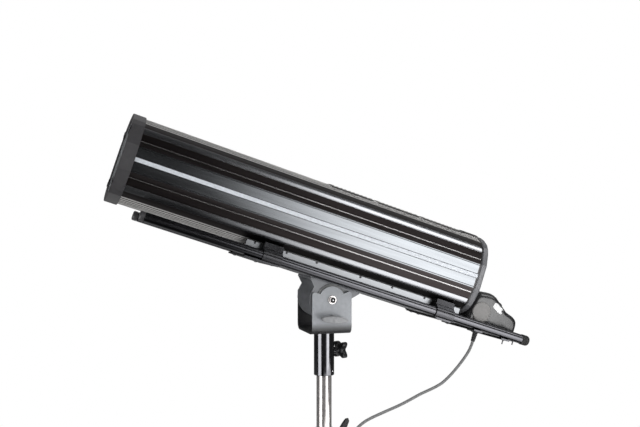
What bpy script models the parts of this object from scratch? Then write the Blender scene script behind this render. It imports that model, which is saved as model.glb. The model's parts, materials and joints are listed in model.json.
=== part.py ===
"""Followspot on a tilting yoke, with the top of the mast that carries it.

Metres, +Z up. The origin is the centre of the mast tube's lower end. +X points
to the rear of the lamp and -Y to its near side. The head is drawn level in its
own frame, whose origin is the tilt pivot, and then turned nose up.
"""
import math

import bmesh
import bpy
import numpy as np
from mathutils import Matrix, Vector

# Clearances
GAP = 0.0003
RUNNING_GAP = 0.0004
OVERCUT = 0.001
OVERLAP = 0.002

# Mast and stand collar
MAST_RADIUS = 0.0175
MAST_WALL = 0.002
PIVOT_HEIGHT = 0.470
PLUG_FLANGE = 0.004
PLUG_DEPTH = 0.024
COLLAR_TOP = PIVOT_HEIGHT - 0.304
COLLAR_HEIGHT = 0.034
COLLAR_RADIUS = 0.0255
LUG_REACH = 0.040
LUG_HALF = 0.009
LUG_FOOT = 0.006
SLIT_HALF = 0.001
LEVER_LIFT = 0.58
LEVER_BOLT_RADIUS = 0.003
LEVER_TURN = math.radians(150)
LEVER_LENGTH = 0.040
LEVER_THICK = 0.009
LEVER_HUB_RADIUS = 0.008
LEVER_TIP_SHARE = 0.72
LEVER_HUB_LENGTH = 0.006
LEVER_CHAMFER = 0.0015

# Sleeve that turns on the mast
SLEEVE_RADIUS = 0.0235
SLEEVE_WALL = 0.0055
SLEEVE_LENGTH = 0.1005
SLEEVE_TOP = 0.006
SLEEVE_BOLT_RADIUS = 0.005
SLEEVE_BOLT_HEAD = 0.0062
SLEEVE_BOLT_HEAD_RADIUS = 0.0085
PAN_BOSS = 0.005
PAN_BOSS_RADIUS = 0.008
PAN_KNOB_DROP = 0.125
PAN_KNOB_RADIUS = 0.0245
PAN_KNOB_DIP = 0.0135
PAN_KNOB_THICK = 0.014
PAN_KNOB_NECK = 0.0135
PAN_KNOB_CHAMFER = 0.002
PAN_KNOB_YAW = math.radians(21)
STUD_RADIUS = 0.004

# Yoke bracket, sizes from the tilt pivot
YOKE_HALF_LENGTH = 0.0465
YOKE_HALF_WIDTH = 0.0625
YOKE_PLATE = 0.005
YOKE_DROP = 0.078
YOKE_SHOULDER = 0.018
YOKE_HUMP_RADIUS = 0.0307
YOKE_BEND = 0.016
YOKE_CORNER = 0.006
PIVOT_BOLT_RADIUS = 0.005
PIVOT_HEAD_RADIUS = 0.0075
PIVOT_HEAD_THICK = 0.005
NUT_RADIUS = 0.0096
NUT_THICK = 0.008
SOCKET_RADIUS = 0.0045
SOCKET_DEPTH = 0.0035
PIVOT_RING_RADIUS = 0.0095
PIVOT_RING_THICK = 0.002
DISC_RADIUS = 0.0348
DISC_THICK = 0.0025
CHEEK_PLATE = 0.004
CHEEK_RADIUS = 0.0495
KNUCKLE_TOP = 0.035
KNUCKLE_HALF_LENGTH = 0.061
KNUCKLE_NECK = 0.0165
TILT_HANDLE_DROP = 0.0427
TILT_HANDLE_SPAN = 0.062
TILT_HANDLE_HEIGHT = 0.0165
TILT_HANDLE_TURN = math.radians(-5)
TILT_HANDLE_THICK = 0.010
TILT_HANDLE_REACH = 0.024
TILT_HANDLE_WAIST = 0.008
TILT_HANDLE_HUB_RADIUS = 0.0095
TILT_HANDLE_CHAMFER = 0.0015

# Head
NOSE_UP = math.radians(18.3)
AXIS_HEIGHT = 0.1546
HOUSING_FRONT = -0.513
HOUSING_REAR = 0.315
WALL = 0.0025
SIDE_HALF_WIDTH = 0.090
PANEL_HALF_HEIGHT = 0.0283
FACET_EDGE = (0.080, 0.0565)
BEAD_EDGE = (0.072, 0.0696)
SEAM = FACET_EDGE[1]
STRIP_EDGE = (0.062, 0.079)
CROWN = 0.0966
BEAD_BULGE = 0.0012
GROOVE_HEIGHT = 0.0256
GROOVE_WIDTH = 0.0013
GROOVE_DEPTH = 0.0012
RIDGE_HEIGHT = 0.0394
RIDGE_WIDTH = 0.0012
RIDGE_PROUD = 0.0006
STRIPE_HALF_HEIGHT = 0.0044
STRIPE_THICK = 0.0006
RIB_PITCH = 0.0075
RIB_WIDTH = 0.0045
RIB_DEPTH = 0.0012

# Vent grilles on the housing's top
VENT_START = -0.073
VENT_LENGTH = 0.106
VENT_PITCH = 0.119
VENT_COUNT = 3
VENT_HALF_WIDTH = 0.038
VENT_BORDER = 0.006
VENT_PROUD = 0.0022
LOUVRE_COUNT = 9
LOUVRE_SLOT = 0.006
LOUVRE_LEAN = math.radians(35)
COVER_START = 0.276
COVER_HALF_WIDTH = 0.034
COVER_THICK = 0.0035

# Bezel, window and rear cap
BEZEL_LENGTH = 0.0277
BEZEL_PROUD = 0.0035
BEZEL_LIP = 0.003
BEZEL_RIM = 0.012
POCKET_RIM = 0.009
WINDOW_THICK = 0.004
CAP_THICK = 0.0155
CAP_PROUD = 0.0012
CAP_CHAMFER = 0.0025
CAP_SLOT_PITCH = 0.011
CAP_SLOT_HALF = 0.003

# Base channel, rails and clamps
CHANNEL_FRONT = -0.227
CHANNEL_REAR = 0.3125
CHANNEL_HALF_WIDTH = 0.055
CHANNEL_WALL = 0.003
RAIL_RADIUS = 0.011
RAIL_WALL = 0.002
RAIL_OFFSET = 0.080
RAIL_HEIGHT = 0.0465
RAIL_FRONT = -0.455
RAIL_REAR = 0.480
RAIL_CAP_LENGTH = 0.012
RAIL_TIP_ROUND = 0.003
GRIP_LENGTH = 0.014
GRIP_SLEEVE = 0.006
GRIP_WALL = 0.0012
CLAMP_PLACES = ((-0.190, -0.146), (0.240, 0.286))
CLAMP_WALL = 0.0032
CLAMP_DROP = 0.0776
CLAMP_TOP = AXIS_HEIGHT - CLAMP_DROP
CLAMP_SHOULDER = 0.0785
CLAMP_CREST = (0.066, 0.076)
CLAMP_GAP = 0.0024
STRAP_THICK = 0.0037
STRAP_PLACES = ((-0.229, -0.150), (0.244, 0.282))
REAR_STRAP_PLACES = ((0.345, 0.367), (0.419, 0.441))

# Console
CONSOLE_HALF_WIDTH = 0.060
CONSOLE_WALL = 0.003
CONSOLE_FLOOR = 0.0388
CONSOLE_BASE = 0.0038
CONSOLE_PROFILE = ((0.3345, 0.070), (0.3415, 0.112), (0.346, 0.121), (0.3527, 0.1257), (0.369, 0.1282),
                   (0.3815, 0.1289), (0.3935, 0.1265), (0.433, 0.0983), (0.4534, 0.0928), (0.4625, 0.0875),
                   (0.4665, 0.0815), (0.468, 0.0735))
PANEL_TOP = (0.3935, 0.1265)
PANEL_LOW = (0.433, 0.0983)
PANEL_LENGTH = 0.041
PANEL_HALF_WIDTH = 0.050
PANEL_THICK = 0.0025
BUTTON_SIZE = 0.008
BUTTON_HEIGHT = 0.006
BUTTON_PROUD = 0.002
BUTTON_START = 0.006
BUTTON_COUNT = 3
BUTTON_PITCH = 0.014
DISPLAY_PLACE = -0.025
DISPLAY_HALF = (0.007, 0.019)
DISPLAY_SUNK = 0.0004
KNOB_RADIUS = 0.0075
KNOB_SHAFT_RADIUS = 0.003
KNOB_HEIGHT = 0.010
KNOB_COUNT = 2
KNOB_PITCH = 0.044
KNOB_SHAFT_LENGTH = 0.007
ROW_OFFSET = 0.0115
ROCKER_WIDTH = 0.018
ROCKER_HEIGHT = 0.014
ROCKER_DEPTH = 0.004
ROCKER_PROUD = 0.0004
ROCKER_PLACE = (0.030, 0.058)
ROCKER_TILT = math.radians(7)
GLAND_PLACE = (0.381, -0.030)
GLAND_LENGTH = 0.028
GLAND_RADIUS = 0.0085
GLAND_NECK = 0.006
SIDE_PAD_PROUD = 0.003
PAD_LOBE = (0.361, 0.086)
PAD_LOBE_RADIUS = 0.021
PAD_LOBE_START = math.radians(60)
PAD_FLANK = ((0.352, 0.050), (0.384, 0.050), (0.389, 0.066), (0.3885, 0.084), (0.380, 0.099))
GLAND_COLLAR = 0.004
GLAND_STEP = (0.0062, 0.006)
GLAND_TIP = 0.0048

# Inside the housing
PLATE_THICK = 0.003
FRONT_PLATE = -0.500
REAR_PLATE = -0.120
LIGHT_PATH = 0.047
ROD_RADIUS = 0.004
ROD_OFFSET = (0.056, 0.030)
ZOOM_PLACE = -0.410
FOCUS_PLACE = -0.225
CARRIAGE_THICK = 0.010
CARRIAGE_LENS_RADIUS = 0.045
CARRIAGE_OUTLINE = ((-0.064, -0.052), (0.064, -0.052), (0.064, 0.020), (0.030, 0.060),
                    (-0.030, 0.060), (-0.064, 0.020))
MOTOR_LOW = (0.018, -0.074)
MOTOR_HIGH = (0.046, -0.050)
MOTOR_LENGTH = 0.022
LENS_EDGE = 0.004
LENS_BULGE = 0.006
BENCH_TOP = -0.046
BENCH_HALF_WIDTH = 0.050
GATE_PLACE = 0.100
IRIS_RADIUS = 0.0445
IRIS_RIM = 0.006
IRIS_BORE = 0.030
IRIS_THICK = 0.012
IRIS_RING_THICK = 0.006
IRIS_ARM_HALF = 0.003
IRIS_ARM_LENGTH = 0.012
IRIS_ARM_THICK = 0.004
ENGINE_PLACE = 0.190
ENGINE_HALF = 0.050
CONDENSER_LEAD = 0.045
CONDENSER_RADIUS = 0.0335
CONDENSER_BULGE = 0.007
HOLDER_WALL = 0.003
ENGINE_BOARD = 0.006
CHIP_RADIUS = 0.016
CHIP_LENGTH = 0.005
SINK_FIN_COUNT = 13
SINK_FIN_SHARE = 0.25
SINK_BASE = 0.008
SINK_LENGTH = 0.055
SINK_HALF = 0.056
FAN_HALF = 0.0575
FAN_THICK = 0.025
FAN_RADIUS = 0.053
FAN_HUB_RADIUS = 0.020
FAN_BLADES = 7
FAN_TIP_GAP = 0.0015
FAN_MOUNT = 0.0032
FAN_STRUT_HALF = 0.004
BLADE_HALF = 0.011
BLADE_HALF_THICK = 0.0009
BLADE_PITCH = math.radians(32)
SUPPLY_FRONT = -0.090
SUPPLY_REAR = 0.110
SUPPLY_HALF_WIDTH = 0.040
SUPPLY_FOOT = 0.012
SUPPLY_FOOT_HEIGHT = 0.008
SUPPLY_FOOT_LENGTH = 0.010
SUPPLY_FOOT_INSET = 0.020

# Mains lead
CORD_RADIUS = 0.0035
COIL_RADIUS = 0.0495
COIL_STEP = 0.0079
COIL_DROP = 0.388
COIL_START = math.radians(136)
COIL_TURNS = 5 + (270 - 136) / 360
COIL_CLEAR = 0.0005
TIE_HALF = 0.008
TIE_WALL = 0.0015
PLUG_NECK = 0.016
PLUG_LENGTH = 0.038
PLUG_RADIUS = 0.0135
PLUG_SHOULDER = 0.010
PLUG_COLLAR = (0.009, 0.0058, 0.0046)
PIN_OFFSET = 0.0095
PIN_RADIUS = 0.0024
PIN_LENGTH = 0.019
CORD_POINTS = 28
# Route of the free lead, measured from the tilt pivot, chosen by hand
CORD_ROUTE = (
    (0.3568, -0.0292, -0.1312), (0.3498, -0.0278, -0.1434),
    (0.3406, -0.0262, -0.1565), (0.3296, -0.0240, -0.1707), (0.3146, -0.0215, -0.1880),
    (0.2994, -0.0190, -0.2030), (0.2850, -0.0170, -0.2140), (0.2611, -0.0153, -0.2250),
    (0.2355, -0.0137, -0.2350), (0.2126, -0.0121, -0.2460), (0.1848, -0.0104, -0.2586),
    (0.1475, -0.0088, -0.2724), (0.1121, -0.0072, -0.2860), (0.0935, -0.0058, -0.2960),
    (0.0780, -0.0046, -0.3090),
)

BODY_BLACK = (0.012, 0.012, 0.013)
SATIN_GREY = (0.045, 0.046, 0.048)


def clear_scene():
    """Remove every object that the opened scene holds."""
    for item in list(bpy.data.objects):
        bpy.data.objects.remove(item, do_unlink=True)


clear_scene()
PARTS = bpy.data.collections.new("followspot")
CUTTERS = bpy.data.collections.new("cutters")
bpy.context.scene.collection.children.link(PARTS)
bpy.context.scene.collection.children.link(CUTTERS)


def material(name, colour, roughness, metallic=0.0):
    """Make a plain Principled material."""
    made = bpy.data.materials.new(name)
    made.use_nodes = True
    shader = made.node_tree.nodes["Principled BSDF"]
    shader.inputs["Base Color"].default_value = (*colour, 1.0)
    shader.inputs["Roughness"].default_value = roughness
    shader.inputs["Metallic"].default_value = metallic
    made.diffuse_color = (*colour, 1.0)
    return made


def empty(name, place, turn=(0.0, 0.0, 0.0), parent=None):
    """Make an empty that carries a frame or a joint axis."""
    made = bpy.data.objects.new(name, None)
    made.location = place
    made.rotation_euler = turn
    made.parent = parent
    PARTS.objects.link(made)
    return made


def add_object(name, mesh, finish, parent=None, basis=None, cutter=False):
    """Place a mesh as a named part, or as a hidden cutter."""
    made = bpy.data.objects.new(name, mesh)
    made.parent = parent
    if basis is not None:
        made.matrix_basis = basis
    if cutter:
        CUTTERS.objects.link(made)
        made.hide_render = True
        made.display_type = "WIRE"
    else:
        PARTS.objects.link(made)
        mesh.materials.clear()
        mesh.materials.append(material(name, *finish))
        mesh.shade_smooth()
        mesh.set_sharp_from_angle(angle=math.radians(35))
    return made


def plane_basis(plane, start, thickness):
    """Frame of a flat outline: its two axes and where its thickness begins."""
    middle = start + thickness / 2
    if plane == "YZ":
        turn = Matrix(((0, 0, 1), (1, 0, 0), (0, 1, 0)))
        place = Vector((middle, 0, 0))
    elif plane == "XZ":
        turn = Matrix(((1, 0, 0), (0, 0, -1), (0, 1, 0)))
        place = Vector((0, middle, 0))
    else:
        turn = Matrix.Identity(3)
        place = Vector((0, 0, middle))
    return Matrix.Translation(place) @ turn.to_4x4()


def outline_mesh(name, loops, thickness, chamfer=0.0):
    """Turn flat outlines (the later ones are holes) into a closed solid mesh."""
    curve = bpy.data.curves.new(name, "CURVE")
    curve.dimensions = "2D"
    curve.fill_mode = "BOTH"
    curve.extrude = thickness / 2 - chamfer
    curve.bevel_depth = chamfer
    curve.bevel_resolution = 0
    for loop in loops:
        spline = curve.splines.new("POLY")
        spline.points.add(len(loop) - 1)
        for point, (across, up) in zip(spline.points, loop):
            point.co = (across, up, 0, 1)
        spline.use_cyclic_u = True
    holder = bpy.data.objects.new(name, curve)
    bpy.context.scene.collection.objects.link(holder)
    graph = bpy.context.evaluated_depsgraph_get()
    mesh = bpy.data.meshes.new_from_object(holder.evaluated_get(graph))
    bpy.data.objects.remove(holder)
    bpy.data.curves.remove(curve)
    return weld(mesh)


def weld(mesh):
    """Join the loose caps of a mesh and turn its faces outwards."""
    shape = bmesh.new()
    shape.from_mesh(mesh)
    bmesh.ops.remove_doubles(shape, verts=shape.verts, dist=1e-6)
    bmesh.ops.recalc_face_normals(shape, faces=shape.faces)
    shape.to_mesh(mesh)
    shape.free()
    return mesh


def plate(name, loops, plane, start, thickness, finish=None, parent=None, chamfer=0.0):
    """A part (or, with no finish, a cutter) cut from plate along a flat outline."""
    mesh = outline_mesh(name, loops, thickness, chamfer)
    basis = plane_basis(plane, start, thickness)
    return add_object(name, mesh, finish, parent, basis, cutter=finish is None)


def circle(centre, radius, steps=32, start=0.0, sweep=2 * math.pi):
    """Points round an arc; a full circle leaves out its repeated last point."""
    count = steps if abs(sweep) >= 2 * math.pi - 1e-9 else steps + 1
    angles = [start + sweep * step / steps for step in range(count)]
    return [(centre[0] + radius * math.cos(a), centre[1] + radius * math.sin(a)) for a in angles]


class Shape:
    """Collects primitive solids, which stay separate bodies of one mesh."""

    def __init__(self):
        self.mesh = bmesh.new()

    def box(self, low, high, frame=Matrix()):
        """Add a box between two corners given in a frame."""
        low = Vector(low)
        high = Vector(high)
        place = frame @ Matrix.Translation((low + high) / 2) @ Matrix.Diagonal((*(high - low), 1.0))
        bmesh.ops.create_cube(self.mesh, size=1.0, matrix=place)
        return self

    def rod(self, start, end, radius, end_radius=None, steps=24):
        """Add a cylinder or a cone between two points."""
        start = Vector(start)
        end = Vector(end)
        run = end - start
        place = Matrix.Translation((start + end) / 2) @ run.to_track_quat("Z", "Y").to_matrix().to_4x4()
        top = radius if end_radius is None else end_radius
        bmesh.ops.create_cone(self.mesh, cap_ends=True, segments=steps, radius1=radius, radius2=top,
                              depth=run.length, matrix=place)
        return self

    def make(self, name, finish=None, parent=None, basis=None):
        """Place what was collected as a part, or as a cutter if it has no finish."""
        mesh = bpy.data.meshes.new(name)
        self.mesh.to_mesh(mesh)
        self.mesh.free()
        return add_object(name, mesh, finish, parent, basis, cutter=finish is None)


def turned(name, profile, finish=None, parent=None, basis=None, steps=24, closed=False):
    """A turned solid: radius and height pairs that run down its outer side."""
    mesh = bpy.data.meshes.new(name)
    count = len(profile)
    edges = [(index, (index + 1) % count) for index in range(count if closed else count - 1)]
    mesh.from_pydata([(radius, 0, height) for radius, height in profile], edges, [])
    made = add_object(name, mesh, finish, parent, basis, cutter=finish is None)
    screw = made.modifiers.new("turn", "SCREW")
    screw.angle = 2 * math.pi
    screw.steps = steps
    screw.render_steps = steps
    screw.use_merge_vertices = True
    screw.merge_threshold = 0.00001
    screw.use_smooth_shade = True
    return made


def ring(name, outer, inner, low, high, finish, parent=None, basis=None, steps=24):
    """A turned tube or washer."""
    profile = [(outer, high), (outer, low), (inner, low), (inner, high)]
    return turned(name, profile, finish, parent, basis, steps, closed=True)


def combine(target, tool, operation="DIFFERENCE"):
    """Cut, join or intersect a part with a hidden tool."""
    step = target.modifiers.new(tool.name, "BOOLEAN")
    step.operation = operation
    step.object = tool
    step.solver = "EXACT"
    return target


def axis_basis(place, direction):
    """Frame at a place whose +Z runs along a direction."""
    turn = Vector(direction).to_track_quat("Z", "Y").to_matrix().to_4x4()
    return Matrix.Translation(Vector(place)) @ turn


# Outline of the housing


def arch(across, inset=0.0):
    """Height of the arched crown above the optical axis at a distance from the middle."""
    half, foot = STRIP_EDGE
    rise = CROWN - foot
    radius = (half * half + rise * rise) / (2 * rise)
    reach = radius - inset
    return CROWN - radius + math.sqrt(reach * reach - across * across)


def seat_height(across):
    """Height just below the housing's underside at a distance from the middle."""
    return AXIS_HEIGHT - arch(across) - GAP


def housing_quadrant():
    """Corner points of a quarter of the section, from the side to the bead's upper edge."""
    return [(SIDE_HALF_WIDTH, 0.0), (SIDE_HALF_WIDTH, PANEL_HALF_HEIGHT), FACET_EDGE, BEAD_EDGE, STRIP_EDGE]


def housing_loop(steps=6):
    """The whole section round the optical axis, without ribs and beads, anticlockwise."""
    corners = housing_quadrant()[1:]
    half = STRIP_EDGE[0]
    crown = [(half - 2 * half * step / steps, 0.0) for step in range(1, steps)]
    crown = [(across, arch(across)) for across, _ in crown]
    upper = corners + crown + [(-across, up) for across, up in reversed(corners)]
    return upper + [(-across, -up) for across, up in upper]


def offset_loop(loop, distance):
    """Move a closed anticlockwise outline outwards by a distance, with mitred corners."""
    points = np.array(loop)
    ahead = np.roll(points, -1, axis=0) - points
    ahead /= np.linalg.norm(ahead, axis=1)[:, None]
    behind = np.roll(ahead, 1, axis=0)
    normal_ahead = np.stack([ahead[:, 1], -ahead[:, 0]], axis=1)
    normal_behind = np.stack([behind[:, 1], -behind[:, 0]], axis=1)
    total = normal_ahead + normal_behind
    scale = distance / (1 + np.sum(normal_ahead * normal_behind, axis=1))
    return [tuple(point) for point in points + total * scale[:, None]]


def raised(loop, height=AXIS_HEIGHT):
    """Lift an outline from the optical axis to the head's frame."""
    return [(across, up + height) for across, up in loop]


def cross_at(points, height):
    """Distance from the middle at which an inset quarter outline has a height."""
    ups = [up for _, up in points]
    acrosses = [across for across, _ in points]
    return float(np.interp(height, ups, acrosses))


def inner_height(across):
    """Height of the shell's inner face above the optical axis at a distance from the middle."""
    upper = sorted(point for point in offset_loop(housing_loop(), -WALL) if point[1] > SEAM)
    return float(np.interp(across, [side for side, _ in upper], [up for _, up in upper]))


def inner_quadrant():
    """Quarter of the housing's inner wall, from the side to the bead's upper edge."""
    loop = offset_loop(housing_loop(), -WALL)
    return loop[:4]


def side_outline(side):
    """Section of a side panel: stripe recess, grooves, facets with their ridges."""
    facet_run = (FACET_EDGE[0] - SIDE_HALF_WIDTH) / (FACET_EDGE[1] - PANEL_HALF_HEIGHT)
    top = SEAM - GAP / 2
    recess = STRIPE_HALF_HEIGHT + GAP
    depth = STRIPE_THICK + GAP

    def facet(height, proud=0.0):
        return (SIDE_HALF_WIDTH + facet_run * (height - PANEL_HALF_HEIGHT) + proud, height)

    half = [
        (SIDE_HALF_WIDTH - depth, recess), (SIDE_HALF_WIDTH, recess),
        (SIDE_HALF_WIDTH, GROOVE_HEIGHT - GROOVE_WIDTH / 2),
        (SIDE_HALF_WIDTH - GROOVE_DEPTH, GROOVE_HEIGHT - GROOVE_WIDTH / 2),
        (SIDE_HALF_WIDTH - GROOVE_DEPTH, GROOVE_HEIGHT + GROOVE_WIDTH / 2),
        (SIDE_HALF_WIDTH, GROOVE_HEIGHT + GROOVE_WIDTH / 2), (SIDE_HALF_WIDTH, PANEL_HALF_HEIGHT),
        facet(RIDGE_HEIGHT - RIDGE_WIDTH / 2), facet(RIDGE_HEIGHT - RIDGE_WIDTH / 2, RIDGE_PROUD),
        facet(RIDGE_HEIGHT + RIDGE_WIDTH / 2, RIDGE_PROUD), facet(RIDGE_HEIGHT + RIDGE_WIDTH / 2),
        facet(top),
    ]
    inner = inner_quadrant()
    inside = [(cross_at(inner, top), top), inner[0]]
    outer_part = [(across, -up) for across, up in reversed(half)] + half
    inner_part = inside + [(across, -up) for across, up in reversed(inside)]
    return [(side * across, AXIS_HEIGHT + up) for across, up in outer_part + inner_part]


def shell_outline(side):
    """Section of the top (side 1) or bottom (side -1) shell: beads, smooth strips, ribs."""
    foot = SEAM + GAP / 2
    bead_run = np.array(BEAD_EDGE) - np.array(FACET_EDGE)
    bead_out = np.array([bead_run[1], -bead_run[0]]) / np.linalg.norm(bead_run)
    bead = []
    for share in (0.12, 0.5, 0.88):
        bulge = BEAD_BULGE * math.sin(math.pi * share)
        bead.append(tuple(np.array(FACET_EDGE) + bead_run * share + bead_out * bulge))
    right = [(FACET_EDGE[0], foot)] + bead + [BEAD_EDGE, STRIP_EDGE]
    half = STRIP_EDGE[0]
    count = int((2 * half - RIB_WIDTH) / RIB_PITCH)
    first = (count * RIB_PITCH + RIB_WIDTH) / 2
    crown = []
    for index in range(count + 1):
        near = first - index * RIB_PITCH
        far = near - RIB_WIDTH
        crown += [(near, arch(near)), (far, arch(far))]
        if index < count:
            nearer = near - RIB_PITCH
            crown += [(far, arch(far) - RIB_DEPTH), (nearer, arch(nearer) - RIB_DEPTH)]
    outer = right + crown + [(-across, up) for across, up in reversed(right)]
    inner = inner_quadrant()
    loop = offset_loop(housing_loop(), -WALL)
    middle = [point for point in loop if point[1] > foot]
    inside = [(cross_at(inner, foot), foot)] + middle
    inside += [(-cross_at(inner, foot), foot)]
    return [(across, AXIS_HEIGHT + side * up) for across, up in outer + inside[::-1]]


def arch_band(half_width, low, high, side=1.0, steps=8):
    """Section of a band that follows the arched crown."""
    acrosses = [half_width - 2 * half_width * step / steps for step in range(steps + 1)]
    outer = [(across, AXIS_HEIGHT + side * (arch(across) + high)) for across in acrosses]
    inner = [(across, AXIS_HEIGHT + side * (arch(across) + low)) for across in reversed(acrosses)]
    return outer + inner


# Frames


PIVOT = empty("tilt_axis", (0, 0, PIVOT_HEIGHT))
HEAD = empty("head_frame", (0, 0, 0), (0, NOSE_UP, 0), PIVOT)


# Mast, plug, collar and lever


def build_mast():
    """Mast tube with its end plug, and the stand collar with its lever."""
    mast_top = PIVOT_HEIGHT - YOKE_DROP - SLEEVE_TOP - 2 * GAP
    bore = MAST_RADIUS - MAST_WALL
    ring("mast_tube", MAST_RADIUS, bore, PLUG_FLANGE + GAP, mast_top, ((0.6, 0.6, 0.62), 0.12, 1.0), steps=32)
    plug = [(0, PLUG_DEPTH), (bore - GAP, PLUG_DEPTH), (bore - GAP, PLUG_FLANGE), (MAST_RADIUS, PLUG_FLANGE),
            (MAST_RADIUS, 0), (0, 0)]
    turned("mast_end_plug", plug, ((0.02, 0.02, 0.02), 0.5), steps=32)

    low = COLLAR_TOP - COLLAR_HEIGHT
    bolt_x = LUG_REACH - LEVER_HUB_RADIUS
    bolt_z = low + COLLAR_HEIGHT * LEVER_LIFT
    profile = [(COLLAR_RADIUS, COLLAR_TOP), (COLLAR_RADIUS, low), (MAST_RADIUS + GAP, low),
               (MAST_RADIUS + GAP, COLLAR_TOP)]
    body = turned("stand_collar", profile, ((0.02, 0.02, 0.021), 0.45), steps=32, closed=True)
    lug = Shape().box((MAST_RADIUS + OVERLAP, -LUG_HALF, low + LUG_FOOT),
                      (LUG_REACH, LUG_HALF, COLLAR_TOP - OVERLAP))
    combine(body, lug.make("collar_lug"), "UNION")
    slit = Shape().box((MAST_RADIUS - OVERCUT, -SLIT_HALF, low - OVERCUT),
                       (LUG_REACH + OVERCUT, SLIT_HALF, COLLAR_TOP + OVERCUT))
    combine(body, slit.make("collar_slit"))
    hole = Shape().rod((bolt_x, -2 * LUG_HALF, bolt_z), (bolt_x, 2 * LUG_HALF, bolt_z),
                       LEVER_BOLT_RADIUS + GAP,
                       steps=16)
    combine(body, hole.make("collar_hole"))

    axis = empty("collar_lever_axis", (bolt_x, -LUG_HALF - GAP, bolt_z))
    tip = (LEVER_LENGTH * math.sin(LEVER_TURN), -LEVER_LENGTH * math.cos(LEVER_TURN))
    arm = circle((0, 0), LEVER_HUB_RADIUS, 8, LEVER_TURN, math.pi)
    arm += circle(tip, LEVER_HUB_RADIUS * LEVER_TIP_SHARE, 8, LEVER_TURN + math.pi, math.pi)
    lever = plate("collar_lever", [arm], "XZ", -LEVER_THICK - OVERLAP, LEVER_THICK,
                  ((0.02, 0.02, 0.02), 0.4), axis, chamfer=LEVER_CHAMFER)
    stud = Shape().rod((0, -LEVER_HUB_LENGTH, 0), (0, 2 * LUG_HALF + LEVER_BOLT_RADIUS, 0),
                       LEVER_BOLT_RADIUS, steps=16)
    combine(lever, stud.make("lever_stud", parent=axis), "UNION")
    hub = Shape().rod((0, -LEVER_HUB_LENGTH, 0), (0, 0, 0), LEVER_HUB_RADIUS * LEVER_TIP_SHARE, steps=16)
    combine(lever, hub.make("lever_hub", parent=axis), "UNION")


# Yoke: bracket, sleeve, pivot and locks


def bent_section(half_width, thickness, low, top, bend):
    """Section of a U bent from plate, open upwards."""
    quarter = math.pi / 2
    outer = circle((-half_width + bend, low + bend), bend, 3, 2 * quarter, quarter)
    outer += circle((half_width - bend, low + bend), bend, 3, -quarter, quarter)
    outer.append((half_width, top))
    inner_bend = bend - thickness
    inner = [(half_width - thickness, top)]
    inner += circle((half_width - bend, low + bend), inner_bend, 3, 0, -quarter)
    inner += circle((-half_width + bend, low + bend), inner_bend, 3, -quarter, -quarter)
    inner.append((-half_width + thickness, top))
    return outer + inner + [(-half_width, top)]


def yoke_face():
    """Side view of the bracket: shoulders with a round hump over the pivot."""
    lift = math.asin(YOKE_SHOULDER * 0.75 / YOKE_HUMP_RADIUS)
    edge = YOKE_HALF_LENGTH
    corner = YOKE_CORNER
    outline = [(-edge, -YOKE_DROP - OVERCUT), (edge, -YOKE_DROP - OVERCUT)]
    outline += circle((edge - corner, YOKE_SHOULDER - corner), corner, 3, 0, math.pi / 2)
    outline += circle((0, 0), YOKE_HUMP_RADIUS, 10, lift, math.pi - 2 * lift)
    outline += circle((-edge + corner, YOKE_SHOULDER - corner), corner, 3, math.pi / 2, math.pi / 2)
    return outline


def build_bracket():
    """The bent bracket and the sleeve below it, with the bolt between them."""
    section = bent_section(YOKE_HALF_WIDTH, YOKE_PLATE, -YOKE_DROP, YOKE_HUMP_RADIUS + OVERLAP, YOKE_BEND)
    bracket = plate("yoke_bracket", [section], "YZ", -YOKE_HALF_LENGTH, 2 * YOKE_HALF_LENGTH,
                    ((0.06, 0.06, 0.062), 0.45), PIVOT)
    reach = YOKE_HALF_WIDTH + OVERCUT
    inner = YOKE_HALF_WIDTH - 2 * YOKE_PLATE
    face = plate("yoke_face", [yoke_face()], "XZ", -reach, 2 * reach, None, PIVOT)
    combine(bracket, face, "INTERSECT")
    holes = Shape()
    holes.rod((0, -reach, 0), (0, reach, 0), PIVOT_BOLT_RADIUS + GAP)
    holes.rod((0, -reach, -TILT_HANDLE_DROP), (0, -inner, -TILT_HANDLE_DROP), STUD_RADIUS + GAP, steps=16)
    holes.rod((0, 0, -YOKE_DROP - YOKE_PLATE), (0, 0, -YOKE_DROP + 2 * YOKE_PLATE), SLEEVE_BOLT_RADIUS + GAP,
              steps=16)
    combine(bracket, holes.make("yoke_holes", parent=PIVOT))

    top = -YOKE_DROP - GAP
    low = top - SLEEVE_LENGTH
    bore = SLEEVE_RADIUS - SLEEVE_WALL
    hole = SLEEVE_BOLT_RADIUS + GAP
    profile = [(hole, top), (SLEEVE_RADIUS, top), (SLEEVE_RADIUS, low), (bore, low), (bore, top - SLEEVE_TOP),
               (hole, top - SLEEVE_TOP)]
    sleeve = turned("mast_sleeve", profile, ((0.015, 0.015, 0.016), 0.25), PIVOT, steps=28, closed=True)
    across = Vector((math.cos(PAN_KNOB_YAW), math.sin(PAN_KNOB_YAW), 0))
    drop = Vector((0, 0, -PAN_KNOB_DROP))
    boss_end = across * (SLEEVE_RADIUS + PAN_BOSS)
    boss = Shape().rod(across * (bore + OVERLAP) + drop, boss_end + drop, PAN_BOSS_RADIUS, steps=20)
    combine(sleeve, boss.make("sleeve_boss", parent=PIVOT), "UNION")
    knob_hole = Shape().rod(across * PAN_BOSS + drop, boss_end * 1.5 + drop, STUD_RADIUS + GAP, steps=16)
    combine(sleeve, knob_hole.make("sleeve_knob_hole", parent=PIVOT))


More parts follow.
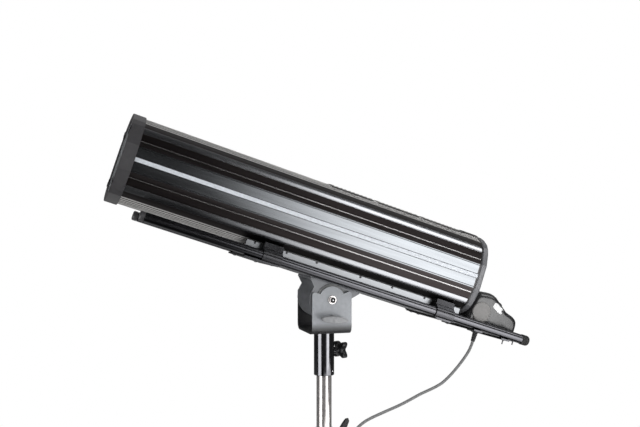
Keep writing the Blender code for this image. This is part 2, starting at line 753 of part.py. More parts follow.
def build_pivot():
    """Pivot bolt and nut with their flanges, sleeve bolt and friction discs."""
    outer = YOKE_HALF_WIDTH + GAP
    flange = outer + PIVOT_RING_THICK
    tip = flange + NUT_THICK + OVERLAP
    head = flange + PIVOT_HEAD_THICK
    profile = [(0, head), (PIVOT_HEAD_RADIUS, head), (PIVOT_HEAD_RADIUS, flange), (PIVOT_RING_RADIUS, flange),
               (PIVOT_RING_RADIUS, outer), (PIVOT_BOLT_RADIUS, outer), (PIVOT_BOLT_RADIUS, -tip), (0, -tip)]
    basis = axis_basis((0, 0, 0), (0, -1, 0))
    bolt = turned("pivot_bolt", profile, ((0.5, 0.5, 0.51), 0.2, 1.0), PIVOT, basis, steps=20)
    socket = Shape().rod((0, -head - OVERCUT, 0), (0, -head + SOCKET_DEPTH, 0), SOCKET_RADIUS, steps=6)
    combine(bolt, socket.make("pivot_socket", parent=PIVOT))

    hole = circle((0, 0), PIVOT_BOLT_RADIUS + GAP, 20)
    nut = plate("pivot_nut", [circle((0, 0), NUT_RADIUS, 6), hole], "XZ", outer + OVERCUT,
                PIVOT_RING_THICK + NUT_THICK,
                ((0.6, 0.6, 0.61), 0.25, 1.0), PIVOT)
    skirt = plate("nut_skirt", [circle((0, 0), PIVOT_RING_RADIUS + OVERLAP, 24), hole], "XZ", outer,
                  PIVOT_RING_THICK,
                  None, PIVOT)
    combine(nut, skirt, "UNION")

    head_low = -YOKE_DROP + YOKE_PLATE + GAP
    bolt = Shape().rod((0, 0, head_low), (0, 0, head_low + SLEEVE_BOLT_HEAD), SLEEVE_BOLT_HEAD_RADIUS,
                       steps=6)
    bolt = bolt.make("sleeve_bolt", ((0.5, 0.5, 0.5), 0.3, 1.0), PIVOT)
    shank = Shape().rod((0, 0, head_low + OVERLAP), (0, 0, -YOKE_DROP - GAP - SLEEVE_TOP),
                        SLEEVE_BOLT_RADIUS, steps=16)
    combine(bolt, shank.make("sleeve_bolt_shank", parent=PIVOT), "UNION")

    disc = [circle((0, 0), DISC_RADIUS, 24), hole]
    inner = YOKE_HALF_WIDTH - YOKE_PLATE - GAP
    for name, start in (("near", -inner), ("far", inner - DISC_THICK)):
        plate(f"friction_disc_{name}", disc, "XZ", start, DISC_THICK, ((0.12, 0.08, 0.05), 0.8), PIVOT)


def build_locks():
    """T-handle of the tilt lock and star knob of the pan lock."""
    axis = empty("tilt_handle_axis", (0, -YOKE_HALF_WIDTH - GAP, -TILT_HANDLE_DROP), parent=PIVOT)
    half = TILT_HANDLE_SPAN / 2
    rise = TILT_HANDLE_HEIGHT / 2
    end = rise * 0.55
    wing = circle((half - end, 0), end, 6, -math.pi / 2, math.pi)
    wing += [(TILT_HANDLE_WAIST, rise), (-TILT_HANDLE_WAIST, rise)]
    wing += circle((-half + end, 0), end, 6, math.pi / 2, math.pi)
    wing += [(-TILT_HANDLE_WAIST, -rise), (TILT_HANDLE_WAIST, -rise)]
    turn = TILT_HANDLE_TURN
    wing = [(x * math.cos(turn) - z * math.sin(turn), x * math.sin(turn) + z * math.cos(turn)) for x,
            z in wing]
    handle = plate("tilt_handle", [wing], "XZ", -TILT_HANDLE_REACH, TILT_HANDLE_THICK,
                   ((0.03, 0.03, 0.031), 0.5), axis,
                   chamfer=TILT_HANDLE_CHAMFER)
    middle = TILT_HANDLE_THICK - TILT_HANDLE_REACH - OVERLAP
    hub = Shape().rod((0, middle, 0), (0, 0, 0), TILT_HANDLE_HUB_RADIUS, steps=20)
    combine(handle, hub.make("tilt_handle_hub", parent=axis), "UNION")
    stud_tip = YOKE_PLATE + DISC_THICK + 2 * GAP
    stud = Shape().rod((0, middle, 0), (0, stud_tip, 0), STUD_RADIUS, steps=16)
    combine(handle, stud.make("tilt_handle_stud", parent=axis), "UNION")

    across = Vector((math.cos(PAN_KNOB_YAW), math.sin(PAN_KNOB_YAW), 0))
    face = SLEEVE_RADIUS + PAN_BOSS + GAP
    place = across * face + Vector((0, 0, PIVOT_HEIGHT - PAN_KNOB_DROP))
    axis = empty("pan_knob_axis", place, (math.pi / 2, 0, math.pi / 2 + PAN_KNOB_YAW))
    star = []
    for lobe in range(4):
        middle = math.pi / 4 + lobe * math.pi / 2
        star += [(PAN_KNOB_RADIUS * share * math.cos(middle + spread), PAN_KNOB_RADIUS * share
                  * math.sin(middle + spread)) for share, spread in ((0.93, -0.5), (1, -0.22), (1, 0.22),
                                                                     (0.93, 0.5))]
        dip = middle + math.pi / 4
        star.append((PAN_KNOB_DIP * math.cos(dip), PAN_KNOB_DIP * math.sin(dip)))
    knob = plate("pan_knob", [star], "XY", PAN_KNOB_NECK, PAN_KNOB_THICK, ((0.015, 0.015, 0.015), 0.35), axis,
                 chamfer=PAN_KNOB_CHAMFER)
    inside = PAN_KNOB_NECK + OVERLAP
    neck = Shape().rod((0, 0, 0), (0, 0, inside), PAN_BOSS_RADIUS, steps=20)
    combine(knob, neck.make("pan_knob_neck", parent=axis), "UNION")
    tip = SLEEVE_RADIUS - SLEEVE_WALL - face
    stud = Shape().rod((0, 0, tip), (0, 0, inside), STUD_RADIUS, steps=16)
    combine(knob, stud.make("pan_knob_stud", parent=axis), "UNION")


# Head: knuckle, channel, rails and clamps


def build_knuckle():
    """Knuckle that turns between the bracket's arms and carries the base channel."""
    outer = YOKE_HALF_WIDTH - YOKE_PLATE - DISC_THICK - 3 * GAP
    inner = outer - CHEEK_PLATE
    roof = KNUCKLE_TOP - CHEEK_PLATE
    low = -CHEEK_RADIUS - OVERLAP
    reach = KNUCKLE_HALF_LENGTH
    section = [(-outer, low), (-inner, low), (-inner, roof), (inner, roof), (inner, low), (outer, low),
               (outer, KNUCKLE_TOP), (-outer, KNUCKLE_TOP)]
    knuckle = plate("tilt_knuckle", [section], "YZ", -reach - OVERCUT, 2 * (reach + OVERCUT),
                    ((0.02, 0.02, 0.021), 0.4), HEAD)
    start = math.asin(KNUCKLE_NECK / CHEEK_RADIUS)
    outline = circle((0, 0), CHEEK_RADIUS, 16, math.pi - start, math.pi + 2 * start)
    outline += [(reach, roof), (reach, KNUCKLE_TOP + OVERCUT), (-reach, KNUCKLE_TOP + OVERCUT),
                (-reach, roof)]
    face = plate("knuckle_face", [outline], "XZ", -outer - OVERCUT, 2 * (outer + OVERCUT), None, HEAD)
    combine(knuckle, face, "INTERSECT")
    hole = Shape().rod((0, -2 * outer, 0), (0, 2 * outer, 0), PIVOT_BOLT_RADIUS + GAP)
    combine(knuckle, hole.make("knuckle_hole", parent=HEAD))


def build_channel():
    """Base channel that carries the housing."""
    half = CHANNEL_HALF_WIDTH
    inner = half - CHANNEL_WALL
    base = KNUCKLE_TOP + GAP
    floor = base + CHANNEL_WALL
    top = seat_height(half)
    inner_top = seat_height(inner)
    section = [(-half, base), (half, base), (half, top), (inner, inner_top), (inner, floor), (-inner, floor),
               (-inner, inner_top), (-half, top)]
    plate("base_channel", [section], "YZ", CHANNEL_FRONT, CHANNEL_REAR - CHANNEL_FRONT,
          ((0.03, 0.03, 0.031), 0.3), HEAD)


def build_rails():
    """Rails with their grips, and the clamps that hang them from the base channel."""
    bore = RAIL_RADIUS - RAIL_WALL
    tip = RAIL_FRONT - RAIL_CAP_LENGTH
    end = RAIL_REAR + GRIP_LENGTH
    fit = RAIL_RADIUS + GAP
    skin = RAIL_RADIUS + GRIP_WALL
    rail = [(0, RAIL_FRONT), (bore, RAIL_FRONT), (bore, RAIL_REAR), (RAIL_RADIUS, RAIL_REAR),
            (RAIL_RADIUS, tip + RAIL_TIP_ROUND), (RAIL_RADIUS - RAIL_TIP_ROUND, tip), (0, tip)]
    grip = [(0, end), (RAIL_RADIUS - 0.004, end), (RAIL_RADIUS, end - 0.0015), (skin, end - 0.006),
            (skin, RAIL_REAR - GRIP_SLEEVE), (fit, RAIL_REAR - GRIP_SLEEVE), (fit, RAIL_REAR + GAP),
            (0, RAIL_REAR + GAP)]
    for side, name in ((-1, "near"), (1, "far")):
        basis = axis_basis((0, side * RAIL_OFFSET, RAIL_HEIGHT), (1, 0, 0))
        turned(f"rail_{name}", rail, ((0.02, 0.02, 0.021), 0.3), HEAD, basis, steps=20)
        turned(f"rail_grip_{name}", grip, ((0.012, 0.012, 0.012), 0.7), HEAD, basis, steps=20)

    top = RAIL_HEIGHT - RAIL_RADIUS - GAP
    inner_edge = CHANNEL_HALF_WIDTH + CLAMP_GAP
    for name, strap, grasp in zip(("front", "rear"), STRAP_PLACES, CLAMP_PLACES):
        clamp = strap_plate(f"rail_clamp_{name}", strap, top, ((0.018, 0.018, 0.018), 0.45))
        for side in (-1, 1):
            arm = [(inner_edge, top - STRAP_THICK / 2), (RAIL_OFFSET + RAIL_RADIUS, top - STRAP_THICK / 2)]
            arm += circle((RAIL_OFFSET, RAIL_HEIGHT), fit + CLAMP_WALL, 10, -math.radians(48),
                          math.radians(110))
            ring_top = RAIL_HEIGHT + fit + CLAMP_WALL
            arm += [(CLAMP_SHOULDER, ring_top + (CLAMP_TOP - ring_top) / 4), (CLAMP_CREST[1], CLAMP_TOP),
                    (CLAMP_CREST[0], CLAMP_TOP), (inner_edge, seat_height(CHANNEL_HALF_WIDTH))]
            loops = [arm, circle((RAIL_OFFSET, RAIL_HEIGHT), fit, 20)]
            loops = [[(side * across, up) for across, up in loop] for loop in loops]
            arm = plate(f"clamp_{name}_{side}", loops, "YZ", grasp[0], grasp[1] - grasp[0], None, HEAD)
            combine(clamp, arm, "UNION")


def strap_plate(name, place, top, finish=None):
    """A flat strap across both rails, from below."""
    half = RAIL_OFFSET + RAIL_RADIUS
    strap = Shape().box((place[0], -half, top - STRAP_THICK), (place[1], half, top))
    return strap.make(name, finish, HEAD)


# Head: housing


def build_shells():
    """Side panels, bottom shell, and the top shell with its cover and louvred fields."""
    length = HOUSING_REAR - HOUSING_FRONT
    black = (BODY_BLACK, 0.3, 0.6)
    for side, name in ((-1, "near"), (1, "far")):
        plate(f"side_panel_{name}", [side_outline(side)], "YZ", HOUSING_FRONT, length, black, HEAD)
    plate("bottom_shell", [shell_outline(-1)], "YZ", HOUSING_FRONT, length, black, HEAD)

    top = plate("top_shell", [shell_outline(1)], "YZ", HOUSING_FRONT, length, black, HEAD)
    sunk = -WALL * 0.7
    cover = arch_band(COVER_HALF_WIDTH, sunk, COVER_THICK, steps=6)
    cover = plate("top_cover", [cover], "YZ", COVER_START, HOUSING_REAR - COVER_START - OVERCUT, None, HEAD)
    combine(top, cover, "UNION")
    slots = Shape()
    pitch = (VENT_LENGTH - 2 * VENT_BORDER) / LOUVRE_COUNT
    slot_half = VENT_HALF_WIDTH - VENT_BORDER
    lean = Matrix.Rotation(LOUVRE_LEAN, 4, "Y")
    for index in range(VENT_COUNT):
        start = VENT_START + index * VENT_PITCH
        band = plate(f"vent_field_{index + 1}", [arch_band(VENT_HALF_WIDTH, sunk, VENT_PROUD, steps=4)],
                     "YZ", start,
                     VENT_LENGTH, None, HEAD)
        combine(top, band, "UNION")
        for slat in range(LOUVRE_COUNT):
            middle = start + VENT_BORDER + pitch * (slat + 0.5)
            place = Matrix.Translation((middle, 0, AXIS_HEIGHT + CROWN - WALL)) @ lean
            slots.box((-LOUVRE_SLOT / 2, -slot_half, -VENT_HALF_WIDTH),
                      (LOUVRE_SLOT / 2, slot_half, VENT_HALF_WIDTH), place)
    combine(top, slots.make("vent_slots", parent=HEAD))


def build_ends():
    """Front bezel with its window, and the rear cap."""
    base = housing_loop()
    front = HOUSING_FRONT - GAP - BEZEL_LENGTH
    loops = [raised(offset_loop(base, BEZEL_PROUD)), raised(offset_loop(base, -BEZEL_RIM))]
    bezel = plate("front_bezel", loops, "YZ", front, BEZEL_LENGTH, (SATIN_GREY, 0.4), HEAD)
    pocket = plate("bezel_pocket", [raised(offset_loop(base, -POCKET_RIM))], "YZ", front + BEZEL_LIP,
                   BEZEL_LENGTH, None, HEAD)
    combine(bezel, pocket)
    rim = -POCKET_RIM - GAP
    start = front + BEZEL_LIP + GAP
    plate("front_window", [raised(offset_loop(base, rim))], "YZ", start, WINDOW_THICK,
          ((0.8, 0.85, 0.9), 0.05), HEAD)

    cap_loop = raised(offset_loop(base, CAP_PROUD - CAP_CHAMFER))
    cap = plate("rear_cap", [cap_loop], "YZ", HOUSING_REAR + GAP, CAP_THICK, (SATIN_GREY, 0.45), HEAD,
                chamfer=CAP_CHAMFER)
    slots = Shape()
    for row in range(-4, 5):
        up = row * CAP_SLOT_PITCH
        half = math.sqrt(FAN_RADIUS ** 2 - up ** 2)
        slots.box((HOUSING_REAR - OVERCUT, -half, AXIS_HEIGHT + up - CAP_SLOT_HALF),
                  (HOUSING_REAR + CAP_THICK + OVERLAP, half, AXIS_HEIGHT + up + CAP_SLOT_HALF))
    combine(cap, slots.make("cap_slots", parent=HEAD))


# Head: inside


def lens(name, place, radius, bulge):
    """A biconvex lens on the optical axis."""
    basis = axis_basis((place, 0, AXIS_HEIGHT), (1, 0, 0))
    rounds = 2
    front = [(radius * step / rounds,
              LENS_EDGE / 2 + bulge * (1 - (step / rounds) ** 2)) for step in range(rounds + 1)]
    back = [(across, -up) for across, up in reversed(front)]
    return turned(name, front + back, ((0.85, 0.88, 0.9), 0.03), HEAD, basis, steps=24)


def build_optics():
    """Bulkheads, guide rods, lenses on their carriages, and the iris."""
    rod_y, rod_z = ROD_OFFSET
    low = AXIS_HEIGHT - rod_z
    sides = ((-1, "near"), (1, "far"))
    inside = raised(offset_loop(housing_loop(), -WALL - GAP))
    for name, place in (("front", FRONT_PLATE), ("rear", REAR_PLATE)):
        loops = [inside, circle((0, AXIS_HEIGHT), LIGHT_PATH, 24)]
        loops += [circle((side * rod_y, low), ROD_RADIUS + GAP, 12) for side, _ in sides]
        plate(f"{name}_bulkhead", loops, "YZ", place, PLATE_THICK, ((0.25, 0.25, 0.26), 0.5, 0.8), HEAD)
    front = FRONT_PLATE - OVERLAP
    rear = REAR_PLATE + PLATE_THICK + OVERLAP
    for side, name in sides:
        rod = Shape().rod((front, side * rod_y, low), (rear, side * rod_y, low), ROD_RADIUS, steps=12)
        rod.make(f"guide_rod_{name}", ((0.6, 0.6, 0.6), 0.2, 1.0), HEAD)
    half = CARRIAGE_THICK / 2
    for name, place in (("zoom", ZOOM_PLACE), ("focus", FOCUS_PLACE)):
        loops = [raised(CARRIAGE_OUTLINE), circle((0, AXIS_HEIGHT), CARRIAGE_LENS_RADIUS + GAP, 24)]
        loops += [circle((side * rod_y, low), ROD_RADIUS + RUNNING_GAP, 12) for side, _ in sides]
        carriage = plate(f"{name}_carriage", loops, "YZ", place - half, CARRIAGE_THICK,
                         ((0.05, 0.05, 0.05), 0.5),
                         HEAD)
        motor = Shape().box((place + half - OVERLAP, MOTOR_LOW[0], AXIS_HEIGHT + MOTOR_LOW[1]),
                            (place + half + MOTOR_LENGTH, MOTOR_HIGH[0], AXIS_HEIGHT + MOTOR_HIGH[1]))
        combine(carriage, motor.make(f"{name}_motor", parent=HEAD), "UNION")
        lens(f"{name}_lens", place, CARRIAGE_LENS_RADIUS, LENS_BULGE)

    base = BENCH_TOP + GAP
    half = BENCH_HALF_WIDTH
    foot = [(-half, base), (half, base), (half, half), (-half, half)]
    cartridge = plate("iris_cartridge", [raised(foot), circle((0, AXIS_HEIGHT), IRIS_BORE, 24)], "YZ",
                      GATE_PLACE,
                      PLATE_THICK, ((0.2, 0.2, 0.2), 0.5, 0.8), HEAD)
    basis = axis_basis((0, 0, AXIS_HEIGHT), (1, 0, 0))
    body = IRIS_RADIUS - IRIS_RIM
    low = GATE_PLACE - IRIS_THICK
    barrel = [(body, GATE_PLACE + OVERLAP), (body, low), (IRIS_BORE, low), (IRIS_BORE, GATE_PLACE + OVERLAP)]
    barrel = turned("iris_barrel", barrel, None, HEAD, basis, steps=24, closed=True)
    combine(cartridge, barrel, "UNION")
    loops = [circle((0, 0), IRIS_RADIUS, 24), circle((0, 0), body / math.cos(math.pi / 24) + RUNNING_GAP, 24)]
    turner = plate("iris_ring", loops, "XY", low + OVERLAP, IRIS_RING_THICK, ((0.3, 0.3, 0.3), 0.4, 0.8),
                   HEAD)
    turner.matrix_basis = basis @ turner.matrix_basis
    middle = low + OVERLAP + IRIS_RING_THICK / 2
    arm = Shape().box((-IRIS_ARM_HALF, IRIS_RADIUS - OVERLAP, middle - IRIS_ARM_THICK / 2),
                      (IRIS_ARM_HALF, IRIS_RADIUS + IRIS_ARM_LENGTH, middle + IRIS_ARM_THICK / 2))
    combine(turner, arm.make("iris_arm", parent=HEAD, basis=basis), "UNION")


def build_engine():
    """Bench, light engine with its condenser, and what cools it."""
    top = BENCH_TOP
    legs = GAP - inner_height(BENCH_HALF_WIDTH)
    half = BENCH_HALF_WIDTH
    under = top - PLATE_THICK
    section = [(-half, legs), (-half + PLATE_THICK, legs), (-half + PLATE_THICK, under),
               (half - PLATE_THICK, under), (half - PLATE_THICK, legs), (half, legs), (half, top), (-half,
                                                                                                    top)]
    front = REAR_PLATE + PLATE_THICK + 2 * OVERLAP
    plate("bench_plate", [raised(section)], "YZ", front, ENGINE_PLACE - front, ((0.3, 0.3, 0.3), 0.5, 0.8),
          HEAD)

    cell = ENGINE_PLACE - CONDENSER_LEAD
    engine = Shape().box((ENGINE_PLACE - ENGINE_BOARD, -ENGINE_HALF, AXIS_HEIGHT + top + GAP),
                         (ENGINE_PLACE, ENGINE_HALF, AXIS_HEIGHT + ENGINE_HALF))
    engine = engine.make("light_engine", ((0.75, 0.5, 0.3), 0.35, 0.9), HEAD)
    basis = axis_basis((0, 0, AXIS_HEIGHT), (1, 0, 0))
    outer = CONDENSER_RADIUS + HOLDER_WALL
    sunk = ENGINE_PLACE - ENGINE_BOARD + OVERLAP
    tube_profile = [(outer, sunk), (outer, cell - HOLDER_WALL), (CONDENSER_RADIUS + GAP, cell - HOLDER_WALL),
                    (CONDENSER_RADIUS + GAP, sunk)]
    holder = turned("condenser_holder", tube_profile, None, HEAD, basis, steps=24, closed=True)
    combine(engine, holder, "UNION")
    chip = Shape().rod((sunk - CHIP_LENGTH, 0, AXIS_HEIGHT), (sunk, 0, AXIS_HEIGHT), CHIP_RADIUS)
    combine(engine, chip.make("engine_chip", parent=HEAD), "UNION")
    lens("condenser_lens", cell, CONDENSER_RADIUS, CONDENSER_BULGE)

    start = ENGINE_PLACE + GAP
    pitch = 2 * SINK_HALF / (SINK_FIN_COUNT - 1 + SINK_FIN_SHARE)
    width = pitch * SINK_FIN_SHARE
    comb = []
    for fin in range(SINK_FIN_COUNT):
        left = -SINK_HALF + fin * pitch
        comb += [(start + SINK_BASE, left), (start + SINK_LENGTH, left), (start + SINK_LENGTH, left + width),
                 (start + SINK_BASE, left + width)]
    comb += [(start, SINK_HALF), (start, -SINK_HALF)]
    plate("heat_sink", [comb], "XY", AXIS_HEIGHT - SINK_HALF, 2 * SINK_HALF, ((0.5, 0.5, 0.52), 0.4, 0.9),
          HEAD)
    build_fan(start + SINK_LENGTH + GAP)


def build_fan(front):
    """Fan frame with its motor mount, and the rotor on its axis."""
    rear = front + FAN_THICK
    corner = FAN_HALF
    square = [(-corner, -corner), (corner, -corner), (corner, corner), (-corner, corner)]
    frame = plate("fan_frame", [raised(square), circle((0, AXIS_HEIGHT), FAN_RADIUS + FAN_TIP_GAP, 24)],
                  "YZ", front,
                  FAN_THICK, ((0.02, 0.02, 0.02), 0.5), HEAD)
    strut = Shape().box((rear - FAN_MOUNT, -FAN_RADIUS - 2 * FAN_TIP_GAP, AXIS_HEIGHT - FAN_STRUT_HALF),
                        (rear, FAN_RADIUS + 2 * FAN_TIP_GAP, AXIS_HEIGHT + FAN_STRUT_HALF))
    combine(frame, strut.make("fan_strut", parent=HEAD), "UNION")
    mount = Shape().rod((rear - FAN_MOUNT, 0, AXIS_HEIGHT), (rear, 0, AXIS_HEIGHT), FAN_HUB_RADIUS)
    combine(frame, mount.make("fan_mount", parent=HEAD), "UNION")
    axis = empty("fan_axis", (front + FAN_MOUNT, 0, AXIS_HEIGHT), (0, math.pi / 2, 0), HEAD)
    depth = FAN_THICK - 2 * FAN_MOUNT - GAP
    rotor = Shape().rod((0, 0, 0), (0, 0, depth), FAN_HUB_RADIUS).make("fan_rotor",
                                                                       ((0.03, 0.03, 0.03), 0.4), axis)
    for blade in range(FAN_BLADES):
        wing = Shape().box((FAN_HUB_RADIUS - OVERLAP, -BLADE_HALF, -BLADE_HALF_THICK),
                           (FAN_RADIUS - FAN_TIP_GAP, BLADE_HALF, BLADE_HALF_THICK))
        turn = Matrix.Rotation(2 * math.pi * blade / FAN_BLADES, 4, "Z")
        turn = turn @ Matrix.Translation((0, 0, depth / 2)) @ Matrix.Rotation(BLADE_PITCH, 4, "X")
        combine(rotor, wing.make(f"fan_blade_{blade + 1}", parent=axis, basis=turn), "UNION")


def build_supply():
    """Power supply that stands on the bottom shell, under the bench."""
    floor = AXIS_HEIGHT - inner_height(SUPPLY_FOOT) + GAP
    ceiling = AXIS_HEIGHT + BENCH_TOP - PLATE_THICK - GAP
    base = floor + SUPPLY_FOOT_HEIGHT
    supply = Shape().box((SUPPLY_FRONT, -SUPPLY_HALF_WIDTH, base), (SUPPLY_REAR, SUPPLY_HALF_WIDTH, ceiling))
    supply = supply.make("power_supply", ((0.55, 0.56, 0.58), 0.35, 0.9), HEAD)
    feet = Shape()
    for place in (SUPPLY_FRONT + SUPPLY_FOOT_INSET, SUPPLY_REAR - SUPPLY_FOOT_INSET - SUPPLY_FOOT_LENGTH):
        feet.box((place, -SUPPLY_FOOT, floor), (place + SUPPLY_FOOT_LENGTH, SUPPLY_FOOT, base + OVERLAP))
    combine(supply, feet.make("supply_feet", parent=HEAD), "UNION")


# Console


def square_loop(middle, half_x, half_y):
    """Corners of a rectangle round a middle."""
    x, y = middle
    return [(x - half_x, y - half_y), (x + half_x, y - half_y), (x + half_x, y + half_y),
            (x - half_x, y + half_y)]


def panel_frame():
    """Empty on the control panel: +X down its slope, +Z out of it."""
    run = (PANEL_LOW[0] - PANEL_TOP[0], PANEL_TOP[1] - PANEL_LOW[1])
    middle = ((PANEL_TOP[0] + PANEL_LOW[0]) / 2, 0, (PANEL_TOP[1] + PANEL_LOW[1]) / 2)
    return empty("panel_frame", middle, (0, math.atan2(run[1], run[0]), 0), HEAD)


def build_hood(frame):
    """Hood over the console, with its openings, and the base that closes it."""
    floor = CONSOLE_FLOOR + GAP
    front_x = CONSOLE_PROFILE[0][0] - OVERCUT
    rear_x = CONSOLE_PROFILE[-1][0]
    profile = ([(front_x, floor)] + list(CONSOLE_PROFILE) + [(rear_x, floor)])[::-1]
    width = 2 * CONSOLE_HALF_WIDTH
    hood = plate("console_hood", [profile], "XZ", -CONSOLE_HALF_WIDTH, width, ((0.03, 0.03, 0.03), 0.4), HEAD)
    inside = offset_loop(profile, -CONSOLE_WALL)
    inside[0] = (inside[0][0], floor - CONSOLE_WALL)
    inside[-1] = (inside[-1][0], floor - CONSOLE_WALL)
    hollow = plate("hood_hollow", [inside], "XZ", -CONSOLE_HALF_WIDTH + CONSOLE_WALL,
                   width - 2 * CONSOLE_WALL,
                   None, HEAD)
    combine(hood, hollow)
    lobe = circle(PAD_LOBE, PAD_LOBE_RADIUS, 10, PAD_LOBE_START, math.pi) + list(PAD_FLANK)
    side_pad = plate("hood_side_pad", [lobe], "XZ", -CONSOLE_HALF_WIDTH - SIDE_PAD_PROUD,
                     width + 2 * SIDE_PAD_PROUD,
                     None, HEAD)
    combine(hood, side_pad, "UNION")
    combine(hood, hollow)
    half = PANEL_LENGTH / 2
    deep = 4 * CONSOLE_WALL
    opening = Shape().box((-half - GAP, -PANEL_HALF_WIDTH - GAP, -deep),
                          (half + GAP, PANEL_HALF_WIDTH + GAP, deep))
    combine(hood, opening.make("panel_opening", parent=frame))
    place_y, place_z = ROCKER_PLACE
    half_y = ROCKER_WIDTH / 2 + RUNNING_GAP
    half_z = ROCKER_HEIGHT / 2 + RUNNING_GAP
    hole = Shape().box((rear_x - deep, place_y - half_y, place_z - half_z),
                       (rear_x + deep, place_y + half_y, place_z + half_z))
    combine(hood, hole.make("switch_hole", parent=HEAD))

    gland_x, gland_y = GLAND_PLACE
    front = front_x + OVERLAP
    rear = rear_x - OVERCUT
    half = CONSOLE_HALF_WIDTH
    outline = [(front, -half), (rear, -half), (rear, half), (front, half)]
    base = plate("console_base", [outline, circle((gland_x, gland_y), GLAND_NECK + GAP, 20)], "XY",
                 CONSOLE_FLOOR - CONSOLE_BASE, CONSOLE_BASE, ((0.02, 0.02, 0.02), 0.5), HEAD)
    for index, place in enumerate(REAR_STRAP_PLACES):
        strap = strap_plate(f"console_strap_{index + 1}", place, RAIL_HEIGHT - RAIL_RADIUS - GAP)
        combine(base, strap, "UNION")
    bottom = CONSOLE_FLOOR - CONSOLE_BASE - GAP
    end = bottom - GLAND_LENGTH
    top = CONSOLE_FLOOR + OVERLAP
    gland = [(0, top), (GLAND_NECK, top), (GLAND_NECK, bottom), (GLAND_RADIUS, bottom),
             (GLAND_RADIUS, bottom - GLAND_COLLAR), (GLAND_STEP[0], bottom - GLAND_STEP[1]), (GLAND_TIP,
                                                                                              end), (0, end)]
    turned("strain_relief", gland, ((0.03, 0.03, 0.03), 0.6), HEAD,
           Matrix.Translation((gland_x, gland_y, 0)), 20)


def build_controls(frame):
    """Control panel with display, buttons and knobs, and the power rocker."""
    half = PANEL_LENGTH / 2
    display = (-ROW_OFFSET, DISPLAY_PLACE)
    loops = [square_loop((0, 0), half, PANEL_HALF_WIDTH),
             square_loop(display, DISPLAY_HALF[0] + GAP, DISPLAY_HALF[1] + GAP)]
    reach = BUTTON_SIZE / 2
    button_places = [BUTTON_START + BUTTON_PITCH * index for index in range(BUTTON_COUNT)]
    knob_places = [KNOB_PITCH * (index - (KNOB_COUNT - 1) / 2) for index in range(KNOB_COUNT)]
    loops += [square_loop((-ROW_OFFSET, y), reach + GAP, reach + GAP) for y in button_places]
    loops += [circle((ROW_OFFSET, y), KNOB_SHAFT_RADIUS + GAP, 16) for y in knob_places]
    plate("control_panel", loops, "XY", -PANEL_THICK, PANEL_THICK, ((0.015, 0.015, 0.015), 0.35), frame)
    shade = Shape().box((display[0] - DISPLAY_HALF[0], display[1] - DISPLAY_HALF[1], -PANEL_THICK),
                        (display[0] + DISPLAY_HALF[0], display[1] + DISPLAY_HALF[1], -DISPLAY_SUNK))
    shade.make("display", ((0.02, 0.03, 0.05), 0.08), frame)
    for index, y in enumerate(button_places):
        axis = empty(f"menu_button_axis_{index + 1}", (-ROW_OFFSET, y, 0), parent=frame)
        button = Shape().box((-reach, -reach, BUTTON_PROUD - BUTTON_HEIGHT), (reach, reach, BUTTON_PROUD))
        button.make(f"menu_button_{index + 1}", ((0.1, 0.1, 0.1), 0.5), axis)
    for name, y in zip(("dimmer_knob", "zoom_knob"), knob_places):
        axis = empty(f"{name}_axis", (ROW_OFFSET, y, 0), parent=frame)
        profile = [(0, KNOB_HEIGHT), (KNOB_RADIUS - OVERCUT, KNOB_HEIGHT), (KNOB_RADIUS, GAP),
                   (KNOB_SHAFT_RADIUS, GAP), (KNOB_SHAFT_RADIUS, -KNOB_SHAFT_LENGTH), (0, -KNOB_SHAFT_LENGTH)]
        turned(name, profile, ((0.02, 0.02, 0.02), 0.45), axis, steps=16)

    place_y, place_z = ROCKER_PLACE
    rear_x = CONSOLE_PROFILE[-1][0]
    axis = empty("power_rocker_axis", (rear_x - ROCKER_DEPTH, place_y, place_z), (0, ROCKER_TILT, 0), HEAD)
    high = ROCKER_HEIGHT / 2 - OVERCUT
    face = ROCKER_DEPTH + ROCKER_PROUD
    drop = high * math.tan(ROCKER_TILT)
    rocker = [(-OVERLAP, -high), (face + drop, -high), (face, 0), (face + drop, high), (-OVERLAP, high)]
    plate("power_rocker", [rocker], "XZ", -ROCKER_WIDTH / 2, ROCKER_WIDTH, ((0.01, 0.01, 0.01), 0.3), axis)


# Mains lead


def smooth_route(points, count):
    """Points spread evenly along a smooth curve through the given ones."""
    points = np.array(points)
    ends = np.vstack([2 * points[0] - points[1], points, 2 * points[-1] - points[-2]])
    dense = []
    for index in range(1, len(ends) - 2):
        before, start, end, after = ends[index - 1:index + 3]
        share = np.linspace(0, 1, 24, endpoint=False)[:, None]
        dense.append(0.5 * (2 * start + (end - before) * share
                            + (2 * before - 5 * start + 4 * end - after) * share ** 2
                            + (3 * start - before - 3 * end + after) * share ** 3))
    dense = np.vstack(dense + [points[-1:]])
    steps = np.linalg.norm(np.diff(dense, axis=0), axis=1)
    along = np.concatenate([[0], np.cumsum(steps)])
    wanted = np.linspace(0, along[-1], count)
    return np.stack([np.interp(wanted, along, dense[:, axis]) for axis in range(3)], axis=1)


def tube(name, points, radius, finish, resolution):
    """A tube along points, with filled ends."""
    curve = bpy.data.curves.new(name, "CURVE")
    curve.dimensions = "3D"
    curve.bevel_depth = radius
    curve.bevel_resolution = resolution
    curve.use_fill_caps = True
    spline = curve.splines.new("POLY")
    spline.points.add(len(points) - 1)
    for point, place in zip(spline.points, points):
        point.co = (*place, 1)
    made = bpy.data.objects.new(name, curve)
    curve.materials.append(material(name, *finish))
    PARTS.objects.link(made)
    return made


def coil_middle():
    """Centre of the stored coil, beside the mast."""
    return np.array([MAST_RADIUS + COIL_CLEAR + COIL_RADIUS + CORD_RADIUS, 0.0, PIVOT_HEIGHT - COIL_DROP])


